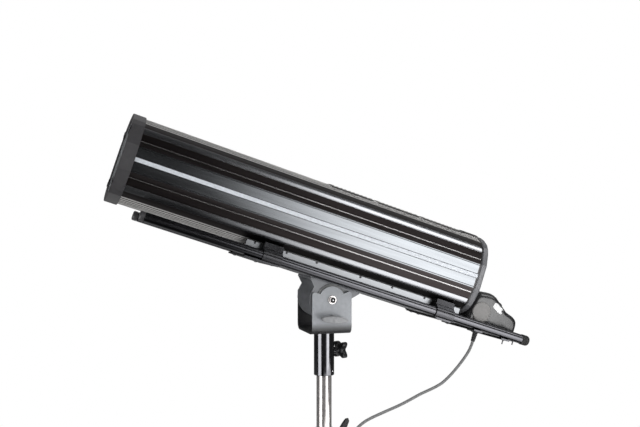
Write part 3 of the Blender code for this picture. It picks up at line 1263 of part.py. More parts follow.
def coil_points():
    """Centre line of the stored coil: in, over the layer step and out again."""
    centre = coil_middle()
    turn = np.linspace(0, COIL_TURNS, int(24 * COIL_TURNS) + 1)
    half = COIL_TURNS / 2
    radius = COIL_RADIUS - COIL_STEP * (half - np.abs(turn - half))
    layer = np.sin(np.pi * np.clip((turn - half) * 2, -0.5, 0.5)) / 2
    angle = COIL_START + 2 * np.pi * turn
    return np.stack([centre[0] + radius * np.cos(angle), centre[1] + COIL_STEP * layer,
                     centre[2] + radius * np.sin(angle)], axis=1)


def print_least_gap(points, radius):
    """Print the least gap between a wound tube's turns."""
    fine = smooth_route(points, 2400)
    spacing = np.linalg.norm(fine[1] - fine[0])
    least = 1.0
    for shift in range(int(16 * radius / spacing), len(fine)):
        least = min(least, np.linalg.norm(fine[shift:] - fine[:-shift], axis=1).min())
    print(f"least gap between the coil's turns {1000 * (least - 2 * radius):.2f} mm")


def unit(vector):
    """A vector of length one."""
    return vector / np.linalg.norm(vector)


def build_lead():
    """Free lead, stored coil with its tie, and the plug."""
    coil = coil_points()
    enter = unit(coil[1] - coil[0])
    leave = unit(coil[-1] - coil[-2])
    straight = 2 * CORD_RADIUS
    turn = np.array(Matrix.Rotation(NOSE_UP, 3, "Y"))
    bottom = CONSOLE_FLOOR - CONSOLE_BASE - GAP - GLAND_LENGTH
    lift = np.array([0, 0, PIVOT_HEIGHT])
    exit_place = turn @ np.array([*GLAND_PLACE, bottom - GAP]) + lift
    down = turn @ np.array([0, 0, -1.0])
    joint = coil[0] - enter * (straight + GAP)
    route = [exit_place + down * straight]
    route += [np.array(point) + lift for point in CORD_ROUTE]
    route += [joint - enter * 2 * straight, joint - enter * straight]
    route = np.vstack([exit_place, smooth_route(route, CORD_POINTS), joint])
    grey = ((0.12, 0.12, 0.12), 0.5)
    tube("mains_cord", route, CORD_RADIUS, grey, 2)
    wound = np.vstack([[coil[0] - enter * straight], coil, [coil[-1] + leave * straight]])
    tube("mains_coil", wound, CORD_RADIUS, grey, 1)
    print_least_gap(wound, CORD_RADIUS)
    for words, points in (("free lead", route), ("coiled lead", wound)):
        print(f"{words} {np.linalg.norm(np.diff(points, axis=0), axis=1).sum():.3f} m")

    basis = axis_basis(Vector(wound[-1] + leave * GAP), Vector(leave))
    end = PLUG_NECK + PLUG_LENGTH
    collar, neck, tip = PLUG_COLLAR
    plug = [(0, end), (PLUG_RADIUS, end), (PLUG_RADIUS, PLUG_NECK + PLUG_SHOULDER),
            (collar, PLUG_NECK + OVERLAP),
            (neck, PLUG_NECK), (tip, 0), (0, 0)]
    body = turned("mains_plug", plug, ((0.02, 0.02, 0.02), 0.5), None, basis, steps=20)
    pins = Shape()
    for side in (-1, 1):
        pins.rod((side * PIN_OFFSET, 0, end - 2 * OVERLAP), (side * PIN_OFFSET, 0, end + PIN_LENGTH),
                 PIN_RADIUS, steps=10)
    combine(body, pins.make("plug_pins", basis=basis), "UNION")

    inner_edge = COIL_RADIUS - COIL_STEP * COIL_TURNS / 2 - CORD_RADIUS
    right = coil_middle()[0] - math.sqrt(inner_edge ** 2 - TIE_HALF ** 2) + 2 * GAP
    side = COIL_STEP / 2 + CORD_RADIUS + 2 * GAP
    loops = []
    for wall in (TIE_WALL, 0.0):
        fit = MAST_RADIUS + 2 * GAP + wall
        corner = (right + wall, side + wall)
        touch = math.atan2(corner[1], corner[0]) + math.acos(fit / math.hypot(*corner))
        points = circle((0, 0), fit, 20, touch, 2 * (math.pi - touch))
        loops.append(points + [(corner[0], -corner[1]), corner])
    plate("coil_tie", loops, "XY", PIVOT_HEIGHT - COIL_DROP - TIE_HALF, 2 * TIE_HALF,
          ((0.02, 0.02, 0.02), 0.8))


build_mast()
build_bracket()
build_pivot()
build_locks()
build_knuckle()
build_channel()
build_rails()
build_shells()
build_ends()
build_optics()
build_engine()
build_supply()
PANEL = panel_frame()
build_hood(PANEL)
build_controls(PANEL)
build_lead()
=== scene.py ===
"""Dressing of a packed stage followspot: finishes, trim, mains lead, studio and camera.

Metres, +Z up. The origin is the lower end of the mast, +X points to the rear of
the lamp and -Y to its near side. Head pieces are drawn level in the head's own
frame, whose origin is the tilt pivot, and then turned nose up. Profiles of turned
pieces are radius and height pairs in millimetres.
"""

import json
import logging
import math
from collections.abc import Callable
from dataclasses import dataclass, field
from enum import Enum

import bmesh
import bpy
import numpy as np
from bpy.types import Material, Mesh, NodeOutputs, NodeSocket, NodeTree, Object
from mathutils import Matrix, Vector

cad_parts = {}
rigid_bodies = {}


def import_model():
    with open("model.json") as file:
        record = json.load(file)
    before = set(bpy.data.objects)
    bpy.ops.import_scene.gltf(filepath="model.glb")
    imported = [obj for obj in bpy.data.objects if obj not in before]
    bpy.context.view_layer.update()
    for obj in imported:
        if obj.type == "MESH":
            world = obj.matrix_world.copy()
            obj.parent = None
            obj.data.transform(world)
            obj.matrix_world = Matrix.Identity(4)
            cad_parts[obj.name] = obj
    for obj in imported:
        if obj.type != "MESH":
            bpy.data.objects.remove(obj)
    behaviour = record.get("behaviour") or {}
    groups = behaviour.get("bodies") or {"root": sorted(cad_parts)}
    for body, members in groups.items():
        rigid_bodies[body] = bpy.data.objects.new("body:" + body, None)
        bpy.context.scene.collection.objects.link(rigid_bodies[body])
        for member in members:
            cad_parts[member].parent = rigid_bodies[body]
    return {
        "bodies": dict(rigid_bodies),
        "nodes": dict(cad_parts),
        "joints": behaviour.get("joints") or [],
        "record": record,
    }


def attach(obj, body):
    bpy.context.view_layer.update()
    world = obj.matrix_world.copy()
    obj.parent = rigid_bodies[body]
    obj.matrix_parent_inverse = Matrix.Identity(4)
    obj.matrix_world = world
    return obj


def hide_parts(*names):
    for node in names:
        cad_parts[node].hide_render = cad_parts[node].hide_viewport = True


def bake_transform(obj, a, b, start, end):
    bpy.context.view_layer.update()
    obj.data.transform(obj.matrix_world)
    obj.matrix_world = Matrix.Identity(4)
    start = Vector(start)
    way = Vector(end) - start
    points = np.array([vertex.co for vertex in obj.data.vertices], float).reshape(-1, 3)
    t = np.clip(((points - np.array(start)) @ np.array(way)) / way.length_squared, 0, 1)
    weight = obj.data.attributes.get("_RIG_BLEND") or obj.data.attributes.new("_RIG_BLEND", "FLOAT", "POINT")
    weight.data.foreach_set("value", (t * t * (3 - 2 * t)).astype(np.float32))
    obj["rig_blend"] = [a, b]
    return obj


LOG = logging.getLogger("followspot")

MM = 0.001
GAP = 0.0003
FULL_TURN = 2 * math.pi
QUARTER_TURN = math.pi / 2
CREASE = math.radians(32)
PIVOT_HEIGHT = 0.470
NOSE_UP = math.radians(18.3)
AXIS_HEIGHT = 0.1546
PIVOT = Matrix.Translation((0, 0, PIVOT_HEIGHT))
HEAD = PIVOT @ Matrix.Rotation(NOSE_UP, 4, "Y")
WORLD = Matrix.Identity(4)
SIDES = ((-1, "near"), (1, "far"))
NEAR_WARDS = (0, -1, 0)
MIDDLE = (0, 0, 0)


class Plane(Enum):
    """Which frame axes carry an outline's two axes and its thickness, in that order."""

    CROSS = (1, 2, 0)
    SIDE = (0, 2, 1)
    FLAT = (0, 1, 2)


# Meshes worked out with numpy


def moved(points: np.ndarray, frame: Matrix) -> np.ndarray:
    """Carry points from a frame into the row frame, in the same layout."""
    return points @ np.array(frame.to_3x3()).T + np.array(frame.translation)


def along(frame: Matrix, place: tuple, direction: tuple) -> Matrix:
    """Frame at a place of another frame, whose +Z runs along a direction there."""
    turn = Vector(direction).to_track_quat("Z", "Y").to_matrix().to_4x4()
    return frame @ Matrix.Translation(Vector(place)) @ turn


def polar(angle: np.ndarray, radius: np.ndarray, *more: np.ndarray) -> np.ndarray:
    """Points at angles and radii, with any further coordinates."""
    return np.stack(np.broadcast_arrays(radius * np.cos(angle), radius * np.sin(angle), *more), axis=-1)


def unit(vectors: np.ndarray) -> np.ndarray:
    """Vectors of length one with the given directions."""
    return vectors / np.linalg.norm(vectors, axis=-1, keepdims=True)


def linked(name: str, data: bpy.types.ID) -> Object:
    """Link a mesh, lamp or camera as a new object at the origin.

    Args:
        name: The object's name.
        data: What it holds.

    Returns:
        The object.
    """
    made = bpy.data.objects.new(name, data)
    bpy.context.scene.collection.objects.link(made)
    return made


def tidy_mesh(mesh: Mesh, reach: float = 2e-6, flat: float = 0.0, crease: float = CREASE) -> Mesh:
    """Merge doubles, drop empty faces, join flat neighbours and turn faces outwards.

    Args:
        mesh: The mesh to mend in place.
        reach: How near two points count as one.
        flat: Angle below which neighbours become one face, or 0 to keep them.
        crease: Angle between faces from which their edge is sharp.

    Returns:
        The same mesh.
    """
    shape = bmesh.new()
    shape.from_mesh(mesh)
    bmesh.ops.remove_doubles(shape, verts=shape.verts, dist=reach)
    bmesh.ops.dissolve_degenerate(shape, edges=shape.edges, dist=reach)
    if flat:
        bmesh.ops.dissolve_limit(shape, angle_limit=flat, verts=shape.verts, edges=shape.edges)
    bmesh.ops.recalc_face_normals(shape, faces=shape.faces)
    shape.to_mesh(mesh)
    shape.free()
    mesh.shade_smooth()
    mesh.set_sharp_from_angle(angle=crease)
    return mesh


def grid_piece(name: str, grid: np.ndarray, ring: bool = True, capped: bool = True,
               looped: bool = False) -> Object:
    """Make a piece whose quads join each grid point with the next of its row and of its column.

    Args:
        name: The piece's name.
        grid: Points in the row frame, as rows by columns by 3.
        ring: Whether each row closes on itself.
        capped: Whether the first and last rows are filled.
        looped: Whether the last row joins the first.

    Returns:
        The piece.
    """
    rows, columns = grid.shape[:2]
    index = np.arange(rows * columns).reshape(rows, columns)
    beside = np.roll(index, -1, axis=1)
    quads = np.stack([index, beside, np.roll(beside, -1, axis=0), np.roll(index, -1, axis=0)], axis=-1)
    faces = quads[:rows if looped else -1, :columns if ring else -1].reshape(-1, 4).tolist()
    if capped:
        faces += [index[0].tolist(), index[-1].tolist()]
    mesh = bpy.data.meshes.new(name)
    mesh.from_pydata(grid.reshape(-1, 3).tolist(), [], faces)
    return linked(name, tidy_mesh(mesh))


def turned(name: str, profile: tuple, frame: Matrix, steps: int = 48, looped: bool = False) -> Object:
    """Turn a profile round a frame's Z axis: (r cos a, r sin a, h) for each pair r, h and angle a.

    Args:
        name: The piece's name.
        profile: Radius and height pairs in millimetres.
        frame: The frame whose Z is the axis.
        steps: How many columns the turn has.
        looped: Whether the profile closes on itself, as a tube's does.

    Returns:
        The piece.
    """
    radius, height = np.array(profile, float).T[..., None] * MM
    grid = polar(np.arange(steps) * FULL_TURN / steps, radius, height)
    return grid_piece(name, moved(grid, frame), capped=False, looped=looped)


def rod(radius: float, low: float, high: float) -> tuple:
    """Profile of a plain rod, in millimetres."""
    return (0, low), (radius, low), (radius, high), (0, high)


def pressed(name: str, outline: np.ndarray, plane: Plane, low: float, high: float, frame: Matrix = WORLD,
            fillet: float = 0.0, steps: int = 4, draw: np.ndarray | None = None) -> Object:
    """Give a flat outline a thickness, with rounded rims.

    At quarter angle q a rim's row lies fillet * (1 - sin q) inside its face, and its
    corners have gone 1 - cos q of their draw. The plain draw makes a quarter round: it
    is the fillet times the sum of both sides' inward normals over one plus their
    cosine, or over 0.4 where that is more.

    Args:
        name: The piece's name.
        outline: Corner points.
        plane: Which axes the outline and its thickness lie on.
        low: One face's place.
        high: The other's.
        frame: The frame of all these.
        fillet: The rims' depth.
        steps: How many rows each rim has.
        draw: Each corner's move over a rim, where it isn't the plain one.

    Returns:
        The piece.
    """
    down = np.linspace(QUARTER_TURN, 0, steps + 1 if fillet else 1)
    angle = np.stack([down, down[::-1]])
    inside = np.array([[1], [-1]]) * fillet * (1 - np.sin(angle))
    level = np.array([[min(low, high)], [max(low, high)]]) + inside
    if draw is None:
        following = np.roll(outline, -1, axis=0)
        ahead = unit(following - outline)
        turning = np.sign(np.sum(outline[:, 0] * following[:, 1] - outline[:, 1] * following[:, 0]))
        normal = np.stack([-ahead[:, 1], ahead[:, 0]], axis=1) * turning
        behind = np.roll(normal, 1, axis=0)
        share = np.maximum(1 + np.sum(normal * behind, axis=1), 0.4)
        draw = fillet * (normal + behind) / share[:, None]
    loops = outline + (1 - np.cos(angle)).reshape(-1, 1, 1) * draw
    *flat, thick = plane.value
    grid = np.empty((*loops.shape[:2], 3))
    grid[..., flat] = loops
    grid[..., thick] = level.reshape(-1, 1)
    return grid_piece(name, moved(grid, frame))


def arc(centre: tuple, radius: float, start: float, sweep: float, steps: int = 4) -> np.ndarray:
    """Points along an arc, one a row and both ends included."""
    return centre + polar(start + sweep * np.linspace(0, 1, steps + 1), radius)


def rounded(half_x: float, half_y: float, corner: float, middle: tuple = (0.0, 0.0)) -> np.ndarray:
    """Outline of a rectangle with round corners, anticlockwise.

    Args:
        half_x: Its half width.
        half_y: Its half height.
        corner: The corners' radius.
        middle: Its middle.

    Returns:
        The points.
    """
    return np.vstack([arc((middle[0] + x * (half_x - corner), middle[1] + y * (half_y - corner)), corner,
                          quarter * QUARTER_TURN, QUARTER_TURN)
                      for quarter, (x, y) in enumerate(((1, 1), (-1, 1), (-1, -1), (1, -1)))])


def mirrored(reach: np.ndarray, half: np.ndarray) -> np.ndarray:
    """Outline whose half height on both sides of the first axis is given along its reach."""
    return np.vstack([np.stack([reach, half], axis=1), np.stack([reach, -half], axis=1)[-2:0:-1]])


def spun(outline: np.ndarray, angle: float) -> np.ndarray:
    """Turn an outline anticlockwise in its plane."""
    return outline @ np.array([[math.cos(angle), math.sin(angle)], [-math.sin(angle), math.cos(angle)]])


def cut_corners(outline: np.ndarray, rounds: int = 2) -> np.ndarray:
    """Cut an outline's corners at a seventh of both edges.

    Args:
        outline: Corner points.
        rounds: How many times they are cut.

    Returns:
        The smoother outline.
    """
    for _ in range(rounds):
        seventh = (np.roll(outline, -1, axis=0) - outline) / 7
        outline = np.stack([outline + seventh, outline + 6 * seventh], axis=1).reshape(-1, 2)
    return outline


def joined(name: str, pieces: list) -> Object:
    """Make several closed pieces one.

    Args:
        name: Its name.
        pieces: What it takes up, which is removed.

    Returns:
        The new piece.
    """
    shape = bmesh.new()
    for piece in pieces:
        shape.from_mesh(piece.data)
        bpy.data.meshes.remove(piece.data)
    mesh = bpy.data.meshes.new(name)
    shape.to_mesh(mesh)
    shape.free()
    return linked(name, mesh)


# Finishes


@dataclass
class Nodes:
    """A node tree built through short calls. Their inputs are sockets or plain values."""

    tree: NodeTree

    def add(self, kind: str, inputs: dict, **settings: object) -> NodeOutputs:
        """Add a shader node.

        Args:
            kind: Its type.
            inputs: What each input gets, by name or number.
            settings: Its other settings.

        Returns:
            Its outputs.
        """
        node = self.tree.nodes.new(f"ShaderNode{kind}")
        for name, value in settings.items():
            setattr(node, name, value)
        for key, value in inputs.items():
            if isinstance(value, NodeSocket):
                self.tree.links.new(value, node.inputs[key])
            else:
                node.inputs[key].default_value = value
        return node.outputs

    def math(self, operation: str, first: object, second: object = 0.0) -> NodeSocket:
        """Result of a sum on one or two values."""
        return self.add("Math", {0: first, 1: second}, operation=operation)[0]

    def times(self, first: object, second: object) -> NodeSocket:
        """Product of two values."""
        return self.math("MULTIPLY", first, second)

    def ranged(self, value: NodeSocket, low: float, high: float, start: float = 0.0, end: float = 1.0,
               way: str = "LINEAR") -> NodeSocket:
        """Clamped map of a value, from low to high, onto start to end."""
        ends = {"Value": value, "From Min": low, "From Max": high, "To Min": start, "To Max": end}
        return self.add("MapRange", ends, interpolation_type=way)[0]

    def noise(self, vector: NodeSocket, scale: object, detail: float, roughness: float = 0.5) -> NodeSocket:
        """Value of a noise texture."""
        given = {"Vector": vector, "Scale": scale, "Detail": detail, "Roughness": roughness}
        return self.add("TexNoise", given)["Fac"]

    def mix(self, share: object, first: object, second: object, way: str = "MIX") -> NodeSocket:
        """Mix of two colours."""
        first, second = (item if isinstance(item, NodeSocket) else (*item, 1.0) for item in (first, second))
        return self.add("Mix", {0: share, 6: first, 7: second}, data_type="RGBA", blend_type=way)[2]

    def shaders(self, share: NodeSocket, first: NodeSocket, second: NodeSocket) -> NodeSocket:
        """Mix of two shaders."""
        return self.add("MixShader", {0: share, 1: first, 2: second})[0]

    def axes(self, vector: NodeSocket) -> NodeOutputs:
        """X, Y and Z of a vector."""
        return self.add("SeparateXYZ", {0: vector})

    def place(self) -> NodeSocket:
        """Object coordinates."""
        return self.add("TexCoord", {})["Object"]

    def effect(self, fill: Callable, vector: NodeSocket, **inputs: float) -> NodeOutputs:
        """Use a shared effect, whose node group is made on its first use.

        Args:
            fill: The effect's function, which builds the group and names it.
            vector: The coordinates that it reads.
            inputs: Its plain inputs.

        Returns:
            Its outputs.
        """
        name = fill.__name__
        if name not in bpy.data.node_groups:
            group = bpy.data.node_groups.new(name, "ShaderNodeTree")
            group.interface.new_socket(name="Vector", in_out="INPUT", socket_type="NodeSocketVector")
            for label in inputs:
                group.interface.new_socket(name=label, in_out="INPUT", socket_type="NodeSocketFloat")
            results = fill(Nodes(group), group.nodes.new("NodeGroupInput").outputs)
            for label in results:
                group.interface.new_socket(name=label, in_out="OUTPUT", socket_type="NodeSocketFloat")
            out = group.nodes.new("NodeGroupOutput")
            for label, result in results.items():
                group.links.new(result, out.inputs[label])
        return self.add("Group", {"Vector": vector, **inputs}, node_tree=bpy.data.node_groups[name])


def fine_grain(nodes: Nodes, given: NodeOutputs) -> dict:
    """Fine grain: two noises of different scale, as a height and as a value about one half.

    Args:
        nodes: The group's nodes.
        given: Its inputs.

    Returns:
        Its outputs by name.
    """
    fine = nodes.noise(given["Vector"], given["Scale"], 2.0)
    broad = nodes.noise(given["Vector"], nodes.times(given["Scale"], 0.11), 3.0)
    return {"Height": nodes.times(nodes.math("ADD", fine, broad), 0.5), "Value": broad}


def handling_marks(nodes: Nodes, given: NodeOutputs) -> dict:
    """Handling marks: soft patches broken up by a finer noise, as a mask.

    Args:
        nodes: The group's nodes.
        given: Its inputs.

    Returns:
        Its outputs by name.
    """
    patches = nodes.ranged(nodes.noise(given["Vector"], 14.0, 4.0, 0.6), 0.48, 0.72)
    broken = nodes.ranged(nodes.noise(given["Vector"], 126.0, 3.0, 0.7), 0.35, 0.7)
    return {"Mask": nodes.times(nodes.times(patches, broken), given["Amount"])}


def settled_dust(nodes: Nodes, given: NodeOutputs) -> dict:
    """Settled dust: faces that look up, broken up by a noise, as a mask.

    Args:
        nodes: The group's nodes.
        given: Its inputs.

    Returns:
        Its outputs by name.
    """
    upward = nodes.ranged(nodes.axes(nodes.add("NewGeometry", {})["Normal"])["Z"], 0.35, 0.95)
    broken = nodes.ranged(nodes.noise(given["Vector"], 260.0, 4.0, 0.7), 0.42, 0.66)
    return {"Mask": nodes.times(nodes.times(upward, broken), given["Amount"])}


COAT_ROUGHNESS = 0.12
BUMP_STRENGTH = 0.6
MARKS_ROUGHNESS = 0.35
DUST_ROUGHNESS = 0.6
DUST_COLOUR = (0.42, 0.41, 0.39)
# Painted shade on the bracket's inner faces.
INNER_SHADE = (0.016, 0.016, 0.018)
# Painted shade in the crown's rib grooves; the same dark also marks the rear cover and the seam.
GROOVE_SHADE = (0.032, 0.031, 0.031)
PANEL = ((0.142, 0.149, 0.157), 0.18)
CROWN_START = 0.0792
# Strips of the housing's skin: height from the optical axis, colour and roughness
HOUSING_ZONES = (
    (0.0, *PANEL),
    (0.0043, (0.030, 0.032, 0.035), 0.30),
    (0.0056, *PANEL),
    # Painted shade: a dark line over the panel's groove.
    (0.0248, (0.040, 0.042, 0.045), 0.30),
    (0.0263, *PANEL),
    (0.0284, (0.030, 0.026, 0.026), 0.38),
    # Painted highlight: a pale line along the ridge on the facet.
    (0.0385, (0.450, 0.440, 0.440), 0.25),
    (0.0403, (0.026, 0.022, 0.022), 0.38),
    (0.0566, (0.300, 0.305, 0.320), 0.24),
    (0.0697, (0.045, 0.041, 0.041), 0.34),
    (CROWN_START, (0.620, 0.610, 0.600), 0.45),
)
ZONE_REACH = 0.1
RIB_PITCH = 0.0075
RIB_WIDTH = 0.0045
RIB_START = 0.0585
SKIN_END = 0.3118
COVER_START = 0.2755
COVER_HALF = 0.0345
DRAWN = 0.06


@dataclass(frozen=True)
class Finish:
    """A surface finish, made into a node material once.

    The grain is its noise's scale and the depth its bump in micrometres. The stretch
    scales the coordinates along X, as on drawn metal. The painted shade has two
    heights, the share of light left at the lower one, and the half width within which
    faces are painted dark as shade.
    """

    name: str
    slot: str
    colour: tuple
    roughness: float
    metallic: float = 0.0
    ior: float = 1.5
    coat: float = 0.0
    transmission: float = 0.0
    grain: float = 900.0
    depth: float = 30
    stretch: float = 1.0
    worn: tuple = (0.25, 0.25, 0.25)
    marks: float = 0.25
    dust: float = 0.08
    on_head: bool = False
    zoned: bool = False
    painted_shade: tuple = ()

    def material(self) -> Material:
        """Give the node material, made on the first call.

        Its coordinates are level with the head where asked, and stretched along X. The
        painted shade darkens the bracket towards its lower bend, and paints its inner faces
        dark as shade.

        Returns:
            The material.
        """
        if self.name in bpy.data.materials:
            return bpy.data.materials[self.name]
        made = bpy.data.materials.new(self.name)
        made.use_nodes = True
        made.diffuse_color = (*self.colour, 1.0)
        nodes = Nodes(made.node_tree)
        shader = made.node_tree.nodes["Principled BSDF"].inputs
        for label, value in (("Metallic", self.metallic), ("IOR", self.ior), ("Coat Weight", self.coat),
                             ("Coat Roughness", COAT_ROUGHNESS), ("Transmission Weight", self.transmission)):
            shader[label].default_value = value
        place = nodes.place()
        if self.on_head:
            place = nodes.add("Mapping", {"Vector": place, "Location": (0, 0, PIVOT_HEIGHT),
                                          "Rotation": (0, NOSE_UP, 0)}, vector_type="TEXTURE")[0]
        place = nodes.add("Mapping", {"Vector": place, "Scale": (self.stretch, 1, 1)})[0]
        shade, roughness = self.skin(nodes, place) if self.zoned else (self.colour, self.roughness)
        grain = nodes.effect(fine_grain, place, Scale=self.grain)
        marks = nodes.effect(handling_marks, place, Amount=self.marks)["Mask"]
        dust = nodes.effect(settled_dust, place, Amount=self.dust)["Mask"]
        uneven = nodes.ranged(grain["Value"], 0.3, 0.7, 0.9, 1.1)
        shade = nodes.mix(1.0, shade, uneven, "MULTIPLY")
        # Painted shade: darker towards the bracket's lower bend, and dark on its inner faces.
        if self.painted_shade:
            low, high, least, inner = self.painted_shade
            axes = nodes.axes(place)
            level = nodes.ranged(axes["Z"], low, high, least, 1.0, "SMOOTHSTEP")
            shade = nodes.mix(1.0, shade, level, "MULTIPLY")
            inside_shade_mask = nodes.math("LESS_THAN", nodes.math("ABSOLUTE", axes["Y"]), inner)
            shade = nodes.mix(inside_shade_mask, shade, INNER_SHADE)
        shade = nodes.mix(dust, nodes.mix(marks, shade, self.worn), DUST_COLOUR)
        nodes.tree.links.new(shade, shader["Base Color"])
        rough = nodes.math("ADD", nodes.times(roughness, uneven), nodes.times(marks, MARKS_ROUGHNESS))
        rough = nodes.math("ADD", rough, nodes.times(dust, DUST_ROUGHNESS))
        nodes.tree.links.new(rough, shader["Roughness"])
        if self.depth:
            bump = nodes.add("Bump", {"Strength": BUMP_STRENGTH, "Distance": self.depth * 1e-6,
                                      "Height": grain["Height"]})
            nodes.tree.links.new(bump["Normal"], shader["Normal"])
        return made

    def skin(self, nodes: Nodes, place: NodeSocket) -> tuple:
        """Colour and roughness of the housing before marks and dust.

        Both come from ramps on the height from the optical axis. Dark are the last part
        of each rib pitch on the crown, painted as shade in its grooves, the cover on its
        rear, and the seam before the rear cap.

        Args:
            nodes: The material's nodes.
            place: The coordinates.

        Returns:
            Both sockets.
        """
        axes = nodes.axes(place)
        height = nodes.math("ABSOLUTE", nodes.math("SUBTRACT", axes["Z"], AXIS_HEIGHT))
        share = nodes.math("DIVIDE", height, ZONE_REACH)
        ramps = []
        for shown in (lambda colour, _: (*colour, 1.0), lambda _, roughness: (*(roughness,) * 3, 1.0)):
            ramps.append(nodes.add("ValToRGB", {"Fac": share})["Color"])
            ramp = ramps[-1].node.color_ramp
            ramp.interpolation = "CONSTANT"
            ramp.elements.remove(ramp.elements[1])
            ramp.elements[0].color = shown(*HOUSING_ZONES[0][1:])
            for start, *look in HOUSING_ZONES[1:]:
                ramp.elements.new(start / ZONE_REACH).color = shown(*look)
        # Painted shade: the groove at the end of each rib pitch on the crown is darkened.
        phase = nodes.math("DIVIDE", nodes.math("SUBTRACT", RIB_START, axes["Y"]), RIB_PITCH)
        phase = nodes.math("FRACT", phase)
        groove = nodes.math("GREATER_THAN", phase, RIB_WIDTH / RIB_PITCH)
        crown = nodes.math("GREATER_THAN", share, CROWN_START / ZONE_REACH)
        behind = nodes.math("GREATER_THAN", axes["X"], COVER_START * self.stretch)
        cover = nodes.times(nodes.math("LESS_THAN", nodes.math("ABSOLUTE", axes["Y"]), COVER_HALF), behind)
        seam = nodes.math("GREATER_THAN", axes["X"], SKIN_END * self.stretch)
        dark = nodes.math("MAXIMUM", nodes.times(nodes.math("MAXIMUM", groove, cover), crown), seam)
        return nodes.mix(dark, ramps[0], GROOVE_SHADE), ramps[1]


SKIN = Finish("black_extrusion", "black_case", (0.05, 0.05, 0.05), 0.3, metallic=1, stretch=DRAWN,
              on_head=True, zoned=True, marks=0.05, dust=0.04, depth=10)
CHANNEL_METAL = Finish("silver_channel", "black_metal", (0.162, 0.167, 0.175), 0.32, metallic=1,
                       stretch=DRAWN, on_head=True, marks=0.08, dust=0.03)
STRIPE_PAINT = Finish("pale_stripe", "black_case", (0.62, 0.65, 0.69), 0.32, marks=0.05, dust=0.02,
                      grain=1400)
END_MOULDING = Finish("satin_charcoal", "satin_end", (0.036, 0.034, 0.037), 0.42, ior=1.6, marks=0.1,
                      depth=60, grain=1600)
CAP_MOULDING = Finish("rear_cap_charcoal", "satin_end", (0.092, 0.092, 0.1), 0.4, ior=1.6, marks=0.1,
                      depth=60, grain=1600)
RAIL_COAT = Finish("rail_coat", "black_metal", (0.068, 0.068, 0.074), 0.2, metallic=1, stretch=DRAWN,
                   on_head=True, marks=0.1)
GRIP_RUBBER = Finish("grip_rubber", "grip_rubber", (0.012, 0.012, 0.012), 0.72, marks=0.1, depth=100,
                     grain=2200)
CLAMP_COAT = Finish("clamp_coat", "black_metal", (0.052, 0.052, 0.056), 0.26, metallic=0.9, marks=0.04,
                    depth=20)
# Its last setting is painted shade: darker towards the lower bend and on the inner faces.
BRACKET_COAT = Finish("bracket_powder", "grey_bracket", (0.23, 0.24, 0.255), 0.46, metallic=0.2, ior=1.6,
                      marks=0.12, depth=120, grain=1100, painted_shade=(0.403, 0.421, 0.1, 0.0607))
KNUCKLE_COAT = Finish("knuckle_paint", "black_metal", (0.16, 0.165, 0.175), 0.42, metallic=0.2, marks=0.12,
                      depth=60)
SLEEVE_GLOSS = Finish("sleeve_gloss", "black_case", (0.12, 0.12, 0.128), 0.12, metallic=1, marks=0.06,
                      depth=0)
KNOB_GLOSS = Finish("knob_gloss", "gloss_plastic", (0.008, 0.008, 0.009), 0.28, marks=0.08)
MOULDING = Finish("black_moulding", "black_plastic", (0.014, 0.014, 0.015), 0.5, ior=1.35, marks=0.12,
                  depth=60, grain=1500)
HANDLE_MOULDING = Finish("handle_moulding", "black_plastic", (0.22, 0.223, 0.23), 0.46, ior=1.6, marks=0.1,
                         depth=60)
HOOD_MOULDING = Finish("hood_moulding", "gloss_plastic", (0.012, 0.012, 0.013), 0.3, ior=1.6, marks=0.06,
                       depth=50, grain=1700)
PAD_MOULDING = Finish("pad_moulding", "gloss_plastic", (0.195, 0.189, 0.184), 0.48, marks=0.06, depth=80,
                      grain=1500)
CHROME = Finish("chrome_plate", "bright_steel", (0.55, 0.52, 0.51), 0.12, metallic=0.72, marks=0.05, dust=0,
                depth=0, worn=(0.6, 0.58, 0.56))
ZINC = Finish("zinc_plate", "bright_steel", (0.6, 0.6, 0.61), 0.25, metallic=1, marks=0.15,
              worn=(0.45, 0.43, 0.4))
# Painted shade: a black body that fills the pivot bolt's socket, where shade falls.
SOCKET_SHADE = Finish("socket_shade", "black_metal", (0.006, 0.006, 0.007), 0.6, ior=1.3, marks=0.02, dust=0)
DARK_STEEL = Finish("black_screw", "black_metal", (0.06, 0.06, 0.065), 0.32, metallic=0.9, marks=0.1)
INNER_METAL = Finish("inner_sheet", "", (0.45, 0.46, 0.48), 0.38, metallic=1, stretch=0.2, marks=0.08)
SINK_METAL = Finish("heat_sink_metal", "", (0.3, 0.31, 0.33), 0.42, metallic=1, marks=0.06)
COPPER = Finish("engine_copper", "", (0.55, 0.3, 0.18), 0.35, metallic=1, marks=0.1, worn=(0.3, 0.16, 0.1))
PAD_LINING = Finish("friction_lining", "friction_pad", (0.3, 0.3, 0.3), 0.7, marks=0.2, depth=200, grain=2400)
CABLE_SHEATH = Finish("cable_sheath", "cable_sheath", (0.115, 0.115, 0.12), 0.5, marks=0.08, depth=40,
                      grain=1800)
CLEAR_GLASS = Finish("clear_glass", "clear_glass", (0.93, 0.96, 0.98), 0.03, transmission=1, marks=0, dust=0,
                     depth=0)
SCREEN_GLASS = Finish("screen_glass", "screen", (0.012, 0.018, 0.028), 0.06, coat=0.6, marks=0.04, dust=0.03,
                      depth=0)
LABEL_FILM = Finish("label_film", "gloss_plastic", (0.8, 0.8, 0.8), 0.38, marks=0.02, dust=0.02, grain=700)
MARK_PAINT = Finish("mark_paint", "black_plastic", (0.72, 0.72, 0.72), 0.5, marks=0.1, dust=0.02)


def dress(piece: Object, finish: Finish) -> None:
    """Give a piece or a CAD node one finish.

    Args:
        piece: The object.
        finish: Its finish.
    """
    if not piece.data.materials:
        piece.data.materials.append(None)
    for holder in piece.material_slots:
        holder.link = "OBJECT"
        holder.material = finish.material()


